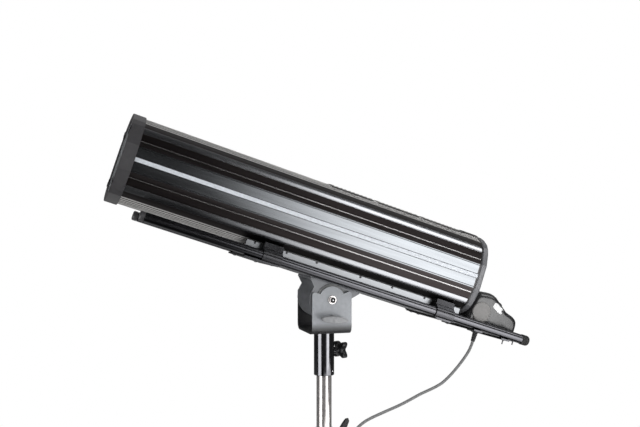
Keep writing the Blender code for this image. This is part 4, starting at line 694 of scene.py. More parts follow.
@dataclass
class Assembly:
    """A sub-assembly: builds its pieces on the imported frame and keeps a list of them."""

    frame: dict
    body: str = "head"
    made: list = field(default_factory=list)

    def add(self, piece: Object, finish: Finish, *nodes: str, body: str = "", slot: str = "") -> Object:
        """Dress a new piece, hang it on a body and let it stand for CAD nodes.

        Args:
            piece: The piece.
            finish: Its finish.
            nodes: The CAD nodes that it replaces.
            body: Its CAD body, where it isn't the assembly's.
            slot: Not used.

        Returns:
            The same piece.
        """
        dress(piece, finish)
        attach(piece, body or self.body)
        if nodes:
            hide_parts(*nodes)
        self.made.append(piece.name)
        LOG.info("%s: %s", type(self).__name__, piece.name)
        return piece

    def refined(self, node: str, finish: Finish, width: float, segments: int = 2, crease: float = CREASE,
                **kept: str) -> Object:
        """Replace a CAD node by a merged copy of it with rounded edges.

        Args:
            node: The CAD node.
            finish: The copy's finish.
            width: The rounding's width in millimetres.
            segments: How many strips the rounding has.
            crease: Angle between faces from which their edge shows.
            kept: Its body or slot, as for a new piece.

        Returns:
            The new piece.
        """
        mesh = self.frame["nodes"][node].data.copy()
        for attribute in [item for item in mesh.attributes if item.name == "custom_normal"]:
            mesh.attributes.remove(attribute)
        mesh.materials.clear()
        piece = linked(f"{node}_body", tidy_mesh(mesh, 1e-5, math.radians(0.4), crease))
        bevel = piece.modifiers.new("edge", "BEVEL")
        bevel.width = width * MM
        bevel.segments = segments
        bevel.limit_method = "ANGLE"
        bevel.angle_limit = CREASE
        bevel.harden_normals = True
        return self.add(piece, finish, node, **kept)

    def fasten(self, name: str, profile: tuple, spots: list, steps: int = 20) -> None:
        """Add equal small fasteners on the head as one piece.

        Args:
            name: The piece's name.
            profile: One fastener's profile.
            spots: Place and direction of each, in the head's frame.
            steps: How many columns each has.
        """
        made = [turned(f"{name}_{index}", profile, along(HEAD, *spot), steps)
                for index, spot in enumerate(spots)]
        self.add(joined(name, made), DARK_STEEL)


# Mains lead


@dataclass
class MainsLead(Assembly):
    """Free lead from the console, the stored coil on the mast with its tie, and the plug."""

    body: str = "yoke"
    radius: float = 0.0035
    coil_middle: tuple = (0.071, 0.0, 0.082)
    coil_radius: float = 0.0495
    coil_step: float = 0.0079
    coil_start: float = math.radians(136)
    coil_turns: float = 5 + 134 / 360
    exit_place: tuple = (0.381, -0.030, 0.0064)
    blend_start: tuple = (0.16, -0.010, 0.195)
    route: tuple = (
        (0.3568, -0.0292, -0.1312), (0.3498, -0.0278, -0.1434), (0.3406, -0.0262, -0.1565),
        (0.3296, -0.0240, -0.1707), (0.3146, -0.0215, -0.1880), (0.2994, -0.0190, -0.2030),
        (0.2850, -0.0170, -0.2140), (0.2611, -0.0153, -0.2250), (0.2355, -0.0137, -0.2350),
        (0.2126, -0.0121, -0.2460), (0.1848, -0.0104, -0.2586), (0.1475, -0.0088, -0.2724),
        (0.1121, -0.0072, -0.2860), (0.0935, -0.0058, -0.2960), (0.0780, -0.0046, -0.3090),
    )
    sides: int = 14
    free_points: int = 28
    path_points: int = 420
    plug: tuple = ((0, 0), (4.6, 0), (4.18, 3.2), (4.908, 3.52), (4.46, 6.4), (5.188, 6.72), (4.74, 9.6),
                   (5.468, 9.92), (5.02, 12.8), (5.8, 16), (9, 18), (12.2, 22), (13.5, 26), (13.5, 40),
                   (12.7, 41), (12.7, 43), (13.5, 44), (13.5, 53), (12.5, 54), (0, 54))
    pin: tuple = ((0, 51), (2.4, 51), (2.4, 71.5), (1.6, 73), (0, 73))
    pin_offset: float = 0.0095

    @staticmethod
    def smooth(points: np.ndarray, count: int) -> np.ndarray:
        """Points spread evenly along the Catmull-Rom curve through the given ones.

        Args:
            points: The given points.
            count: How many points come out.

        Returns:
            The new points.
        """
        ends = np.vstack([2 * points[0] - points[1], points, 2 * points[-1] - points[-2]])
        share = np.linspace(0, 1, 24, endpoint=False)[:, None, None]
        before, start, end, after = ends[:-3], ends[1:-2], ends[2:-1], ends[3:]
        square = 2 * before - 5 * start + 4 * end - after
        cube = 3 * start - before - 3 * end + after
        curve = 0.5 * (2 * start + (end - before) * share + square * share ** 2 + cube * share ** 3)
        dense = np.vstack([curve.transpose(1, 0, 2).reshape(-1, 3), points[-1:]])
        travel = np.concatenate([[0], np.cumsum(np.linalg.norm(np.diff(dense, axis=0), axis=1))])
        wanted = np.linspace(0, travel[-1], count)
        return np.stack([np.interp(wanted, travel, dense[:, axis]) for axis in range(3)], axis=1)

    def centre_line(self) -> np.ndarray:
        """The whole lead's centre line, from the strain relief to the plug.

        The coil's radius falls by one step a turn to its middle and grows again. There
        the layer moves over by one step, along half a sine.

        Returns:
            The points.
        """
        turn = np.linspace(0, self.coil_turns, int(24 * self.coil_turns) + 1)
        past = turn - self.coil_turns / 2
        radius = self.coil_radius - self.coil_step * (self.coil_turns / 2 - np.abs(past))
        layer = self.coil_step * np.sin(np.pi * np.clip(past * 2, -0.5, 0.5)) / 2
        angle = self.coil_start + FULL_TURN * turn
        coil = polar(angle, radius, layer)[:, [0, 2, 1]] + self.coil_middle
        straight = 2 * self.radius
        enter, leave = unit(coil[1] - coil[0]), unit(coil[-1] - coil[-2])
        start = moved(np.array(self.exit_place), HEAD)
        down = moved(np.array((0, 0, -1)), HEAD) - np.array(HEAD.translation)
        joint = coil[0] - enter * (straight + GAP)
        route = np.vstack([start + down * straight, np.array(self.route) + (0, 0, PIVOT_HEIGHT),
                           joint - enter * 2 * straight, joint - enter * straight])
        free = self.smooth(route, self.free_points)
        return np.vstack([start, free, joint, coil, coil[-1] + leave * straight])

    def tube(self, name: str, line: np.ndarray) -> Object:
        """Carry a circle along a line.

        Each ring lies square to the line and is turned as little as possible from the last:
        its side vector is the last one's made square to the new direction.

        Args:
            name: The piece's name.
            line: The centre line.

        Returns:
            The piece.
        """
        ahead = unit(np.gradient(line, axis=0))
        side = np.zeros_like(line)
        side[0] = np.cross(ahead[0], (0.0, 1.0, 0.0))
        for index in range(1, len(line)):
            side[index] = side[index - 1] - ahead[index] * (side[index - 1] @ ahead[index])
        side = unit(side)
        across = np.cross(ahead, side)
        angle = (np.arange(self.sides) * FULL_TURN / self.sides)[:, None]
        ring = np.cos(angle) * side[:, None] + np.sin(angle) * across[:, None]
        return grid_piece(name, line[:, None] + self.radius * ring)

    def build(self) -> None:
        line = self.centre_line()
        fine = self.smooth(line, self.path_points)
        lead = self.tube("mains_lead", fine)
        dress(lead, CABLE_SHEATH)
        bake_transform(lead, "yoke", "head", start=self.blend_start, end=tuple(line[1]))
        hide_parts("mains_cord", "mains_coil")
        self.made.append(lead.name)
        LOG.info("MainsLead: %s", lead.name)
        leave = unit(line[-1] - line[-2])
        frame = along(WORLD, tuple(line[-1] + leave * GAP), tuple(leave))
        plug = self.add(turned("mains_plug_body", self.plug, frame), MOULDING, "mains_plug")
        pins = [turned(f"plug_pin_{name}", self.pin,
                       frame @ Matrix.Translation((side * self.pin_offset, 0, 0)), 20)
                for side, name in SIDES]
        pins = self.add(joined("plug_pins", pins), ZINC)
        tie = self.refined("coil_tie", GRIP_RUBBER, 0.3, slot="black_plastic")


# Mast and yoke


@dataclass
class Mast(Assembly):
    """Chromed mast tube, its end plug, and the stand collar with its lever."""

    body: str = "mast"
    tube: tuple = ((17.5, 384.6), (17.5, 5.1), (16.7, 4.3), (15.5, 4.3), (15.5, 385.4), (16.7, 385.4))
    plug: tuple = ((0, 24), (15.2, 24), (15.2, 4), (17.5, 4), (17.5, 1), (16.5, 0), (0, 0))
    lever_axis: tuple = (0.032, -0.0093, 0.15172)
    lever_turn: float = math.radians(60)
    lever_rear: float = -0.006
    lever_reach: float = 0.050
    lever_half: tuple = (0.0056, 0.0018, -0.0004)
    lever_faces: tuple = (-0.0091, -0.0001)
    lever_fillet: float = 0.002
    lever_hub: tuple = rod(6, 0, 5)
    lever_stud: tuple = rod(3, -21, 4)

    def build(self) -> None:
        """Make the mast and what is on it."""
        tube = turned("mast_tube_body", self.tube, WORLD, 72, looped=True)
        self.add(tube, CHROME, "mast_tube", slot="chrome_tube")
        self.add(turned("mast_plug_body", self.plug, WORLD, 64), MOULDING, "mast_end_plug")
        self.refined("stand_collar", CLAMP_COAT, 0.8, 3)
        self.build_lever()

    def build_lever(self) -> None:
        """Lever: a paddle on a hub with its bolt.

        The paddle's half width is a line plus a squared sine, and runs out bluntly.
        """
        share = np.linspace(0, 1, 14)
        plain, swell, taper = self.lever_half
        half = plain + swell * np.sin(np.pi * share) ** 2 + taper * share
        half = half * np.sqrt(np.clip(1 - (2 * share - 1) ** 8, 0.0, 1.0))
        outline = spun(mirrored(self.lever_rear + share * self.lever_reach, half), self.lever_turn)
        frame = Matrix.Translation(self.lever_axis)
        towards = along(frame, MIDDLE, NEAR_WARDS)
        lever = [pressed("lever_paddle", outline, Plane.SIDE, *self.lever_faces, frame, self.lever_fillet),
                 turned("lever_hub", self.lever_hub, towards),
                 turned("lever_stud", self.lever_stud, towards, 24)]
        self.add(joined("collar_lever_body", lever), MOULDING, "collar_lever", body="collar_lever")


@dataclass
class Yoke(Assembly):
    """Bent bracket on its sleeve, with the pivot bolt, the tilt handle and the pan knob."""

    body: str = "yoke"
    sleeve_radius: float = 0.0235
    sleeve: tuple = ((5.3, -78.3), (22.5, -78.3), (23.5, -79.3),
                     *arc((22, -177.3), 1.5, 0, -QUARTER_TURN).tolist(),
                     (18, -178.8), (18, -84.3), (5.3, -84.3))
    boss: tuple = ((4.3, 0), (8, 0), (8, 7.2), (7.2, 8), (4.3, 8))
    rivet: tuple = ((0, 0), (2.2, 0), (1.9, 1), (1.2, 1.6), (0, 1.9))
    rivet_turn: float = math.radians(-48)
    rivet_drop: float = 0.1688
    rivet_sunk: float = 0.0008
    boss_sunk: float = 0.003
    boss_height: float = 0.005
    bolt: tuple = ((0, 66.3), (6, 66.3), (6, 69.4), (6.4, 69.8), (7, 69.8), (7.5, 69), (7.5, 64.8),
                   (9.2, 64.8), (9.5, 64.4), (9.5, 62.8), (5, 62.8), (5, -74.8), (0, -74.8))
    # Black body in the bolt's socket, as painted shade.
    socket: tuple = rod(5.9, 66.4, 68.9)
    pip: tuple = ((0, 68.8), (1.4, 68.8), (1.2, 69.2), (0, 69.4))
    handle_place: tuple = (0, -0.0628, -0.0427)
    handle_reach: float = 0.031
    handle_half: tuple = (0.0034, 0.0049)
    handle_fillet: float = 0.0022
    handle_stud: tuple = rod(4, -8, 10)
    handle_turn: float = math.radians(-5)
    handle_faces: tuple = (-0.024, -0.014)
    handle_hub: tuple = ((0, 0), (8.5, 0), (9.5, 2), (9, 15), (0, 15))
    handle_cap: tuple = ((0, 23.2), (5.6, 23.2), (5.6, 24), (4.8, 24.5), (0, 24.7))
    knob_drop: float = 0.125
    knob_yaw: float = math.radians(21)
    knob_radii: tuple = (0.0122, 0.0245)
    knob_lobes: int = 4
    lobe_power: float = 1.25
    knob_faces: tuple = (0.0135, 0.0275)
    knob_fillet: float = 0.0028
    knob_stud: tuple = rod(4, -10.8, 4)
    knob_neck: tuple = ((0, 0), (7.5, 0), (8, 0.6), (8, 14.5), (0, 14.5))
    knob_cap: tuple = ((0, 27.1), (7.2, 27.1), (7.2, 27.8), (6, 28.2), (0, 28.3))
    knob_dish: tuple = ((7, 9.9), (7.8, 9.5), (13.8, 12.9), (14.2, 13.9), (7, 13.9))

    def build(self) -> None:
        """Make the yoke's pieces."""
        self.refined("yoke_bracket", BRACKET_COAT, 0.9, 3)
        for _, name in SIDES:
            self.refined(f"friction_disc_{name}", PAD_LINING, 0.3)
        self.refined("sleeve_bolt", ZINC, 0.4)
        self.build_sleeve()
        self.build_pivot()
        self.build_handle()
        self.build_knob()

    def outward(self, turn: float, reach: float, drop: float) -> tuple:
        """Place at a reach from the sleeve's axis and a drop below the pivot, and the way out there."""
        out = np.array((math.cos(turn), math.sin(turn), 0))
        return tuple(out * reach - (0, 0, drop)), tuple(out)

    def build_sleeve(self) -> None:
        """Sleeve with a rounded lower rim, its boss for the knob, and a rivet near the rim."""
        sleeve = turned("sleeve_tube", self.sleeve, PIVOT, 72, looped=True)
        spot = self.outward(self.knob_yaw, self.sleeve_radius - self.boss_sunk, self.knob_drop)
        boss = turned("sleeve_boss", self.boss, along(PIVOT, *spot), 40, looped=True)
        self.add(joined("mast_sleeve_body", [sleeve, boss]), SLEEVE_GLOSS, "mast_sleeve")
        spot = self.outward(self.rivet_turn, self.sleeve_radius - self.rivet_sunk, self.rivet_drop)
        self.add(turned("sleeve_rivet", self.rivet, along(PIVOT, *spot), 24), ZINC)

    def build_pivot(self) -> None:
        """Pivot bolt: bright flange and dished head, a black body in its socket as painted shade, a bright
        pip, and its nut.
        """
        frame = along(PIVOT, MIDDLE, NEAR_WARDS)
        self.add(turned("pivot_bolt_body", self.bolt, frame), CHROME, "pivot_bolt")
        self.add(turned("pivot_socket", self.socket, frame, 30), SOCKET_SHADE)
        self.add(turned("pivot_pip", self.pip, frame, 20), ZINC)
        self.refined("pivot_nut", ZINC, 0.5)

    def build_handle(self) -> None:
        """Tilt handle: a wing with a round boss in its middle.

        The wing's half height is a power of a cosine, and runs out bluntly.
        """
        share = np.linspace(-1, 1, 33)
        plain, swell = self.handle_half
        half = plain + swell * np.cos(share * QUARTER_TURN) ** 0.8
        half = half * np.sqrt(np.clip(1 - np.abs(share) ** 14, 0.0, 1.0))
        outline = spun(mirrored(share * self.handle_reach, half), self.handle_turn)
        frame = PIVOT @ Matrix.Translation(self.handle_place)
        towards = along(frame, MIDDLE, NEAR_WARDS)
        handle = [pressed("handle_wing", outline, Plane.SIDE, *self.handle_faces, frame, self.handle_fillet),
                  turned("handle_hub", self.handle_hub, towards),
                  turned("handle_stud", self.handle_stud, towards, 32)]
        self.add(joined("tilt_handle_body", handle), HANDLE_MOULDING, "tilt_handle", body="tilt_handle")
        self.add(turned("tilt_handle_cap", self.handle_cap, towards, 40), HANDLE_MOULDING, body="tilt_handle")

    def build_knob(self) -> None:
        """Pan knob: a star whose radius goes between dips and lobes as a power of four waves a turn."""
        angle = np.arange(96) * FULL_TURN / 96
        dip, lobe = self.knob_radii
        swell = (0.5 - 0.5 * np.cos(self.knob_lobes * angle)) ** self.lobe_power
        outline = polar(angle, dip + (lobe - dip) * swell)
        place, _ = self.outward(self.knob_yaw, self.sleeve_radius + self.boss_height + GAP, self.knob_drop)
        turn = Matrix.Rotation(QUARTER_TURN + self.knob_yaw, 4, "Z") @ Matrix.Rotation(QUARTER_TURN, 4, "X")
        frame = PIVOT @ Matrix.Translation(place) @ turn
        knob = [pressed("knob_star", outline, Plane.FLAT, *self.knob_faces, frame, self.knob_fillet),
                turned("knob_neck", self.knob_neck, frame, 40),
                turned("knob_stud", self.knob_stud, frame, 32)]
        self.add(joined("pan_knob_body", knob), KNOB_GLOSS, "pan_knob", body="pan_knob")
        self.add(turned("pan_knob_cap", self.knob_cap, frame, 40), MOULDING, body="pan_knob")
        self.add(turned("pan_knob_dish", self.knob_dish, frame, looped=True), KNOB_GLOSS, body="pan_knob")


# Head


@dataclass
class Carriage(Assembly):
    """What the housing stands on: knuckle, base channel, rails, clamps and their fasteners."""

    rail_offset: float = 0.080
    rail_height: float = 0.0465
    rail: tuple = ((11, -454.7), (11, 480), (9, 480), (9, -455), (10.7, -455))
    rail_plug: tuple = ((0, -467), *arc((8, -464), 3, -QUARTER_TURN, QUARTER_TURN).tolist(), (11, -456.2),
                        (8.7, -456.2), (8.7, -451), (0, -451))
    grip_end: tuple = ((0, 494), (7, 493.8), (10.2, 492.8), (11.7, 490.4), (12.2, 487))
    grip_groove: tuple = ((12.2, 485), (11.7, 484.4), (11.7, 483.4), (12.2, 482.8))
    grip_grooves: int = 3
    grip_pitch: float = 3.6
    grip_start: tuple = ((12.2, 474.6), (11.6, 474), (11.3, 474), (11.3, 480.3), (0, 480.3))
    screw: tuple = ((0, -0.5), (2.6, -0.5), (2.6, 0.5005), (2.132, 1.144), (1.3, 1.43), (0.884, 1.43),
                    (0.78, 0.5005), (0, 0.5005))
    screw_places: tuple = (-0.2076, -0.1317, -0.0581, 0.051, 0.1327, 0.2173, 0.294)
    screw_height: float = 0.0688
    channel_half: float = 0.055
    bolt: tuple = ((0, 0), (4, 0), (3.6, 1.2), (2, 1.8), (1.6, 0.8), (0, 0.8))
    bolt_places: tuple = (-0.216, -0.163, 0.253, 0.273, 0.356, 0.430)
    bolt_height: float = 0.0319
    pin: tuple = ((0, 0), (1.4, 0), (1.4, 8.2), (0.8, 9), (0, 9))
    pin_places: tuple = ((0.430, 0.0304), (0.456, 0.0360))

    def build(self) -> None:
        """Make the carriage's pieces."""
        self.refined("tilt_knuckle", KNUCKLE_COAT, 0.6)
        self.refined("base_channel", CHANNEL_METAL, 0.4)
        for name in ("front", "rear"):
            self.refined(f"rail_clamp_{name}", CLAMP_COAT, 0.6)
        self.build_rails()
        self.build_fasteners()

    def build_rails(self) -> None:
        """Rails, each with a plug in its front end behind a narrow gap, and their ribbed rubber grips."""
        grooves = [(radius, height - self.grip_pitch * index) for index in range(self.grip_grooves)
                   for radius, height in self.grip_groove]
        grip = (*self.grip_end, *grooves, *self.grip_start)
        for side, name in SIDES:
            frame = along(HEAD, (0, side * self.rail_offset, self.rail_height), (1, 0, 0))
            self.add(turned(f"rail_{name}_body", self.rail, frame, looped=True), RAIL_COAT, f"rail_{name}")
            self.add(turned(f"rail_plug_{name}", self.rail_plug, frame), END_MOULDING, slot="black_metal")
            self.add(turned(f"rail_grip_{name}_body", grip, frame), GRIP_RUBBER, f"rail_grip_{name}")

    def build_fasteners(self) -> None:
        """Screws along the channel, bolts through the straps, and the pins under the near rail's rear."""
        screws = [((x, side * self.channel_half, self.screw_height), (0, side, 0))
                  for side, _ in SIDES for x in self.screw_places]
        bolts = [((x, side * self.rail_offset, self.bolt_height), (0, 0, -1))
                 for x in self.bolt_places for side, _ in SIDES]
        pins = [((x, -self.rail_offset, z), (0, 0, -1)) for x, z in self.pin_places]
        self.fasten("channel_screws", self.screw, screws)
        self.fasten("strap_bolts", self.bolt, bolts)
        self.fasten("rail_pins", self.pin, pins, 24)


@dataclass
class Housing(Assembly):
    """Extruded housing with its side stripes, front bezel and glass, and slotted rear cap."""

    stripe_middle: tuple = (-0.099, AXIS_HEIGHT)
    stripe_half: tuple = (0.4136, 0.0044)
    stripe_faces: tuple = (0.0891, 0.0897)
    clip_place: tuple = (0.0752, 0.0560)
    clip_half: tuple = (0.0105, 0.0042)
    clip_faces: tuple = (-0.5422, -0.5404)
    clip_fillet: float = 0.0005
    cap_screw: tuple = ((0, -1), (3.2, -1), (3.2, 0.6), (2.6, 1.5), (1.1, 1.8), (1, 0.6), (0, 0.6))
    cap_screw_place: tuple = (0.3305, 0.070, 0.050)
    ends_crease: float = math.radians(12)

    def build(self) -> None:
        """Make the housing's pieces."""
        for node, width in (("side_panel_near", 0.25), ("side_panel_far", 0.25), ("bottom_shell", 0.3),
                            ("top_shell", 0.3)):
            self.refined(node, SKIN, width)
        self.refined("front_bezel", END_MOULDING, 0.9, 3, self.ends_crease)
        self.refined("rear_cap", CAP_MOULDING, 0.6, 2, self.ends_crease)
        self.refined("front_window", CLEAR_GLASS, 0.4)
        outline = rounded(*self.stripe_half, 0.0003, self.stripe_middle)
        for side, name in SIDES:
            low, high = (side * face for face in self.stripe_faces)
            self.add(pressed(f"side_stripe_{name}", outline, Plane.SIDE, low, high, HEAD), STRIPE_PAINT)
        self.build_corners()

    def build_corners(self) -> None:
        """Four clips that hold the glass, over the bezel's front lip, and the rear cap's four screws."""
        clips, spots = [], []
        for side, name in SIDES:
            for up in (-1, 1):
                middle = np.array(self.clip_place) * (side, up)
                outline = spun(rounded(*self.clip_half, 0.0012), math.atan2(middle[1], middle[0]))
                clips.append(pressed(f"glass_clip_{name}_{up}", outline + middle + (0, AXIS_HEIGHT),
                                     Plane.CROSS, *self.clip_faces, HEAD, self.clip_fillet, 2))
                x, y, z = self.cap_screw_place
                spots.append(((x, side * y, AXIS_HEIGHT + up * z), (1, 0, 0)))
        self.add(joined("glass_clips", clips), CLAMP_COAT)
        self.fasten("cap_screws", self.cap_screw, spots, 24)


@dataclass
class Optics(Assembly):
    """What is inside the housing, seen through the glass and the slots."""

    sheet: tuple = ("front_bulkhead", "rear_bulkhead", "bench_plate", "iris_cartridge", "power_supply",
                    "zoom_carriage", "focus_carriage", "iris_ring")

    def build(self) -> None:
        """Dress the inner CAD nodes, which stay as they are."""
        finishes = {**dict.fromkeys(self.sheet, INNER_METAL), "guide_rod_near": ZINC, "guide_rod_far": ZINC,
                    "light_engine": COPPER, "heat_sink": SINK_METAL,
                    "fan_frame": MOULDING, "fan_rotor": MOULDING,
                    "zoom_lens": CLEAR_GLASS, "focus_lens": CLEAR_GLASS, "condenser_lens": CLEAR_GLASS}
        for node, finish in finishes.items():
            dress(self.frame["nodes"][node], finish)
            LOG.info("%s: dressed %s", type(self).__name__, node)


@dataclass
class Console(Assembly):
    """Control console behind the housing: hood, pads, panel, knobs, switch and strain relief."""

    half_width: float = 0.060
    floor: float = 0.0391
    profile: tuple = ((0.3335, 0.070), (0.3405, 0.112), (0.346, 0.121), (0.3527, 0.1257), (0.369, 0.1282),
                      (0.3815, 0.1289), (0.3935, 0.1265), (0.433, 0.0983), (0.4534, 0.0928), (0.4625, 0.0875),
                      (0.4665, 0.0815), (0.468, 0.0735))
    shoulder_hub: tuple = (0.401, 0.0391)
    shoulder_depth: float = 0.015
    shoulder_share: float = 0.17
    panel_top: tuple = (0.3935, 0.1265)
    panel_low: tuple = (0.433, 0.0983)
    panel_half: tuple = (0.0208, 0.0503)
    panel_depths: tuple = (-0.0085, 0.02)
    rocker_place: tuple = (0.030, 0.058)
    rocker_half: tuple = (0.0094, 0.0074)
    rocker_depths: tuple = (0.4585, 0.49)
    pad_place: tuple = (0.3655, 0.0795)
    pad_radius: float = 0.0240
    pad_depths: tuple = (-0.002, 0.003)
    pad_fillet: float = 0.0018
    screw: tuple = ((0, -1), (3, -1), (3, 0.8), (2.2, 1.8), (1, 2), (0.9, 0.8), (0, 0.8))
    screw_place: tuple = (0.3925, 0.0600)
    knob_offset: float = 0.0115
    knob_places: tuple = (("dimmer_knob", -0.022), ("zoom_knob", 0.022))
    knob_rows: tuple = ((7.5, 0.3, 1), (7.5, 1.2, 1), (7.2, 1.6, 1), (6.9, 8.5, 1), (6.3, 9.7, 0.6),
                        (5.2, 10, 0), (0, 10, 0))
    knob_shaft: tuple = rod(3, -7, 1)
    flutes: int = 18
    flute_depth: float = 0.035
    pointer_place: tuple = (-0.0042, 0.0)
    pointer_half: tuple = (0.0024, 0.0005)
    pointer_faces: tuple = (0.0098, 0.0103)
    gland_place: tuple = (0.381, -0.030, 0)
    gland_collar: tuple = ((0, 40.6), (6, 40.6), (6, 34.7), (8.2, 34.7), (8.5, 34.3), (8.5, 31.1), (8, 30.7))
    gland_ring: tuple = ((6.3, 29.1), (6.3, 26.5), (5.5, 26.1), (5.5, 25.1))
    gland_step: tuple = (0.3, 4.4)
    gland_tip: tuple = ((4.8, 7.1), (4.4, 6.7), (0, 6.7))
    label: tuple = ((0.3950, 0.1130), (0.4202, 0.1018), (0.4172, 0.0872), (0.3905, 0.0985))
    label_half: float = 0.0003

    def panel_frame(self) -> Matrix:
        """Frame on the control panel: +X down its slope, +Z out of it.

        Returns:
            The frame.
        """
        (top_x, top_z), (low_x, low_z) = self.panel_top, self.panel_low
        middle = Matrix.Translation(((top_x + low_x) / 2, 0, (top_z + low_z) / 2))
        return HEAD @ middle @ Matrix.Rotation(math.atan2(top_z - low_z, low_x - top_x), 4, "Y")

    def build(self) -> None:
        """Make the console's pieces."""
        self.build_hood()
        self.refined("console_base", CLAMP_COAT, 0.4)
        self.refined("control_panel", MOULDING, 0.3)
        self.refined("display", SCREEN_GLASS, 0.3)
        for index in (1, 2, 3):
            self.refined(f"menu_button_{index}", HANDLE_MOULDING, 0.6, 3, body=f"menu_button_{index}")
        self.refined("power_rocker", KNOB_GLOSS, 0.5, 3, body="power_rocker", slot="black_plastic")
        self.build_knobs()
        self.build_gland()
        self.build_label()

    def build_hood(self) -> None:
        """Hood with shoulders drawn towards a hub, pockets for panel and switch, flank pads and screws."""
        outline = [(self.profile[0][0], self.floor), *self.profile, (self.profile[-1][0], self.floor)]
        outline = cut_corners(np.array(outline)[::-1])
        draw = (np.array(self.shoulder_hub) - outline) * self.shoulder_share
        hood = pressed("console_hood_body", outline, Plane.SIDE, -self.half_width, self.half_width, HEAD,
                       self.shoulder_depth, 8, draw)
        panel = rounded(*self.panel_half, 0.0005)
        switch = rounded(*self.rocker_half, 0.0004, self.rocker_place)
        for tool in (pressed("panel_tool", panel, Plane.FLAT, *self.panel_depths, self.panel_frame()),
                     pressed("switch_tool", switch, Plane.CROSS, *self.rocker_depths, HEAD)):
            step = hood.modifiers.new("cut", "BOOLEAN")
            step.operation = "DIFFERENCE"
            step.object = tool
            step.solver = "EXACT"
            graph = bpy.context.evaluated_depsgraph_get()
            graph.update()
            mesh = bpy.data.meshes.new_from_object(hood.evaluated_get(graph))
            hood.modifiers.clear()
            hood.data = tidy_mesh(mesh, flat=math.radians(0.5))
            bpy.data.objects.remove(tool)
        self.add(hood, HOOD_MOULDING, "console_hood")
        lobe = arc(self.pad_place, self.pad_radius, 0, FULL_TURN, 56)[:-1]
        pads = []
        for side, name in SIDES:
            low, high = (side * (self.half_width + depth) for depth in self.pad_depths)
            pads.append(pressed(f"hood_pad_{name}", lobe, Plane.SIDE, low, high, HEAD, self.pad_fillet))
        self.add(joined("hood_pads", pads), PAD_MOULDING)
        x, z = self.screw_place
        spots = [((x, side * self.half_width, z), (0, side, 0)) for side, _ in SIDES]
        self.fasten("hood_screws", self.screw, spots)

    def build_knobs(self) -> None:
        """Knobs with a pale pointer line, the radius less by a small wave at each flute."""
        angle = np.arange(6 * self.flutes) * FULL_TURN / (6 * self.flutes)
        radius, height, share = np.array(self.knob_rows).T[..., None]
        radius = radius * (1 - self.flute_depth * share * (0.5 - 0.5 * np.cos(self.flutes * angle)))
        grid = polar(angle, radius, height) * MM
        line = rounded(*self.pointer_half, 0.0002, self.pointer_place)
        for name, across in self.knob_places:
            frame = self.panel_frame() @ Matrix.Translation((self.knob_offset, across, 0))
            knob = [grid_piece(f"{name}_shell", moved(grid, frame)),
                    turned(f"{name}_shaft", self.knob_shaft, frame, 24)]
            self.add(joined(f"{name}_body", knob), MOULDING, name, body=name)
            pointer = pressed(f"{name}_pointer", line, Plane.FLAT, *self.pointer_faces, frame)
            self.add(pointer, MARK_PAINT, body=name)

    def build_gland(self) -> None:
        """Strain relief: a collar, then a taper with five rings."""
        rings = np.array(self.gland_ring) - np.arange(5)[:, None, None] * np.array(self.gland_step)
        profile = (*self.gland_collar, *rings.reshape(-1, 2), *self.gland_tip)
        frame = HEAD @ Matrix.Translation(self.gland_place)
        self.add(turned("strain_relief_body", profile, frame, 40), MOULDING, "strain_relief")

    def build_label(self) -> None:
        """Blank film label on the near flank.

        Its rings are its outline scaled about its middle, on the outer face and then on the
        inner one. A point's share is its distance from the hub across the panel's edge over
        that edge's own, and the shoulder's formula turns it into depth.
        """
        outline = cut_corners(np.array(self.label), 1)
        scale = np.concatenate([np.linspace(0, 1, 6), np.linspace(1, 0, 6)])
        place = outline.mean(axis=0) + (outline - outline.mean(axis=0)) * scale[:, None, None]
        edge = unit(np.array(self.panel_low) - np.array(self.panel_top))
        across = np.array([-edge[1], edge[0]])
        share = (place - self.shoulder_hub) @ across
        share = share / ((np.array(self.panel_top) - self.shoulder_hub) @ across)
        drawn = np.clip((1 - share) / self.shoulder_share, 0, 1)
        depth = self.shoulder_depth * (1 - np.sqrt(1 - (1 - drawn) ** 2))
        lift = np.repeat([self.label_half, -self.label_half], 6)[:, None]
        grid = np.stack([place[..., 0], -self.half_width + depth - lift, place[..., 1]], axis=-1)
        self.add(grid_piece("blank_label", moved(grid, HEAD), capped=False), LABEL_FILM)


# Studio


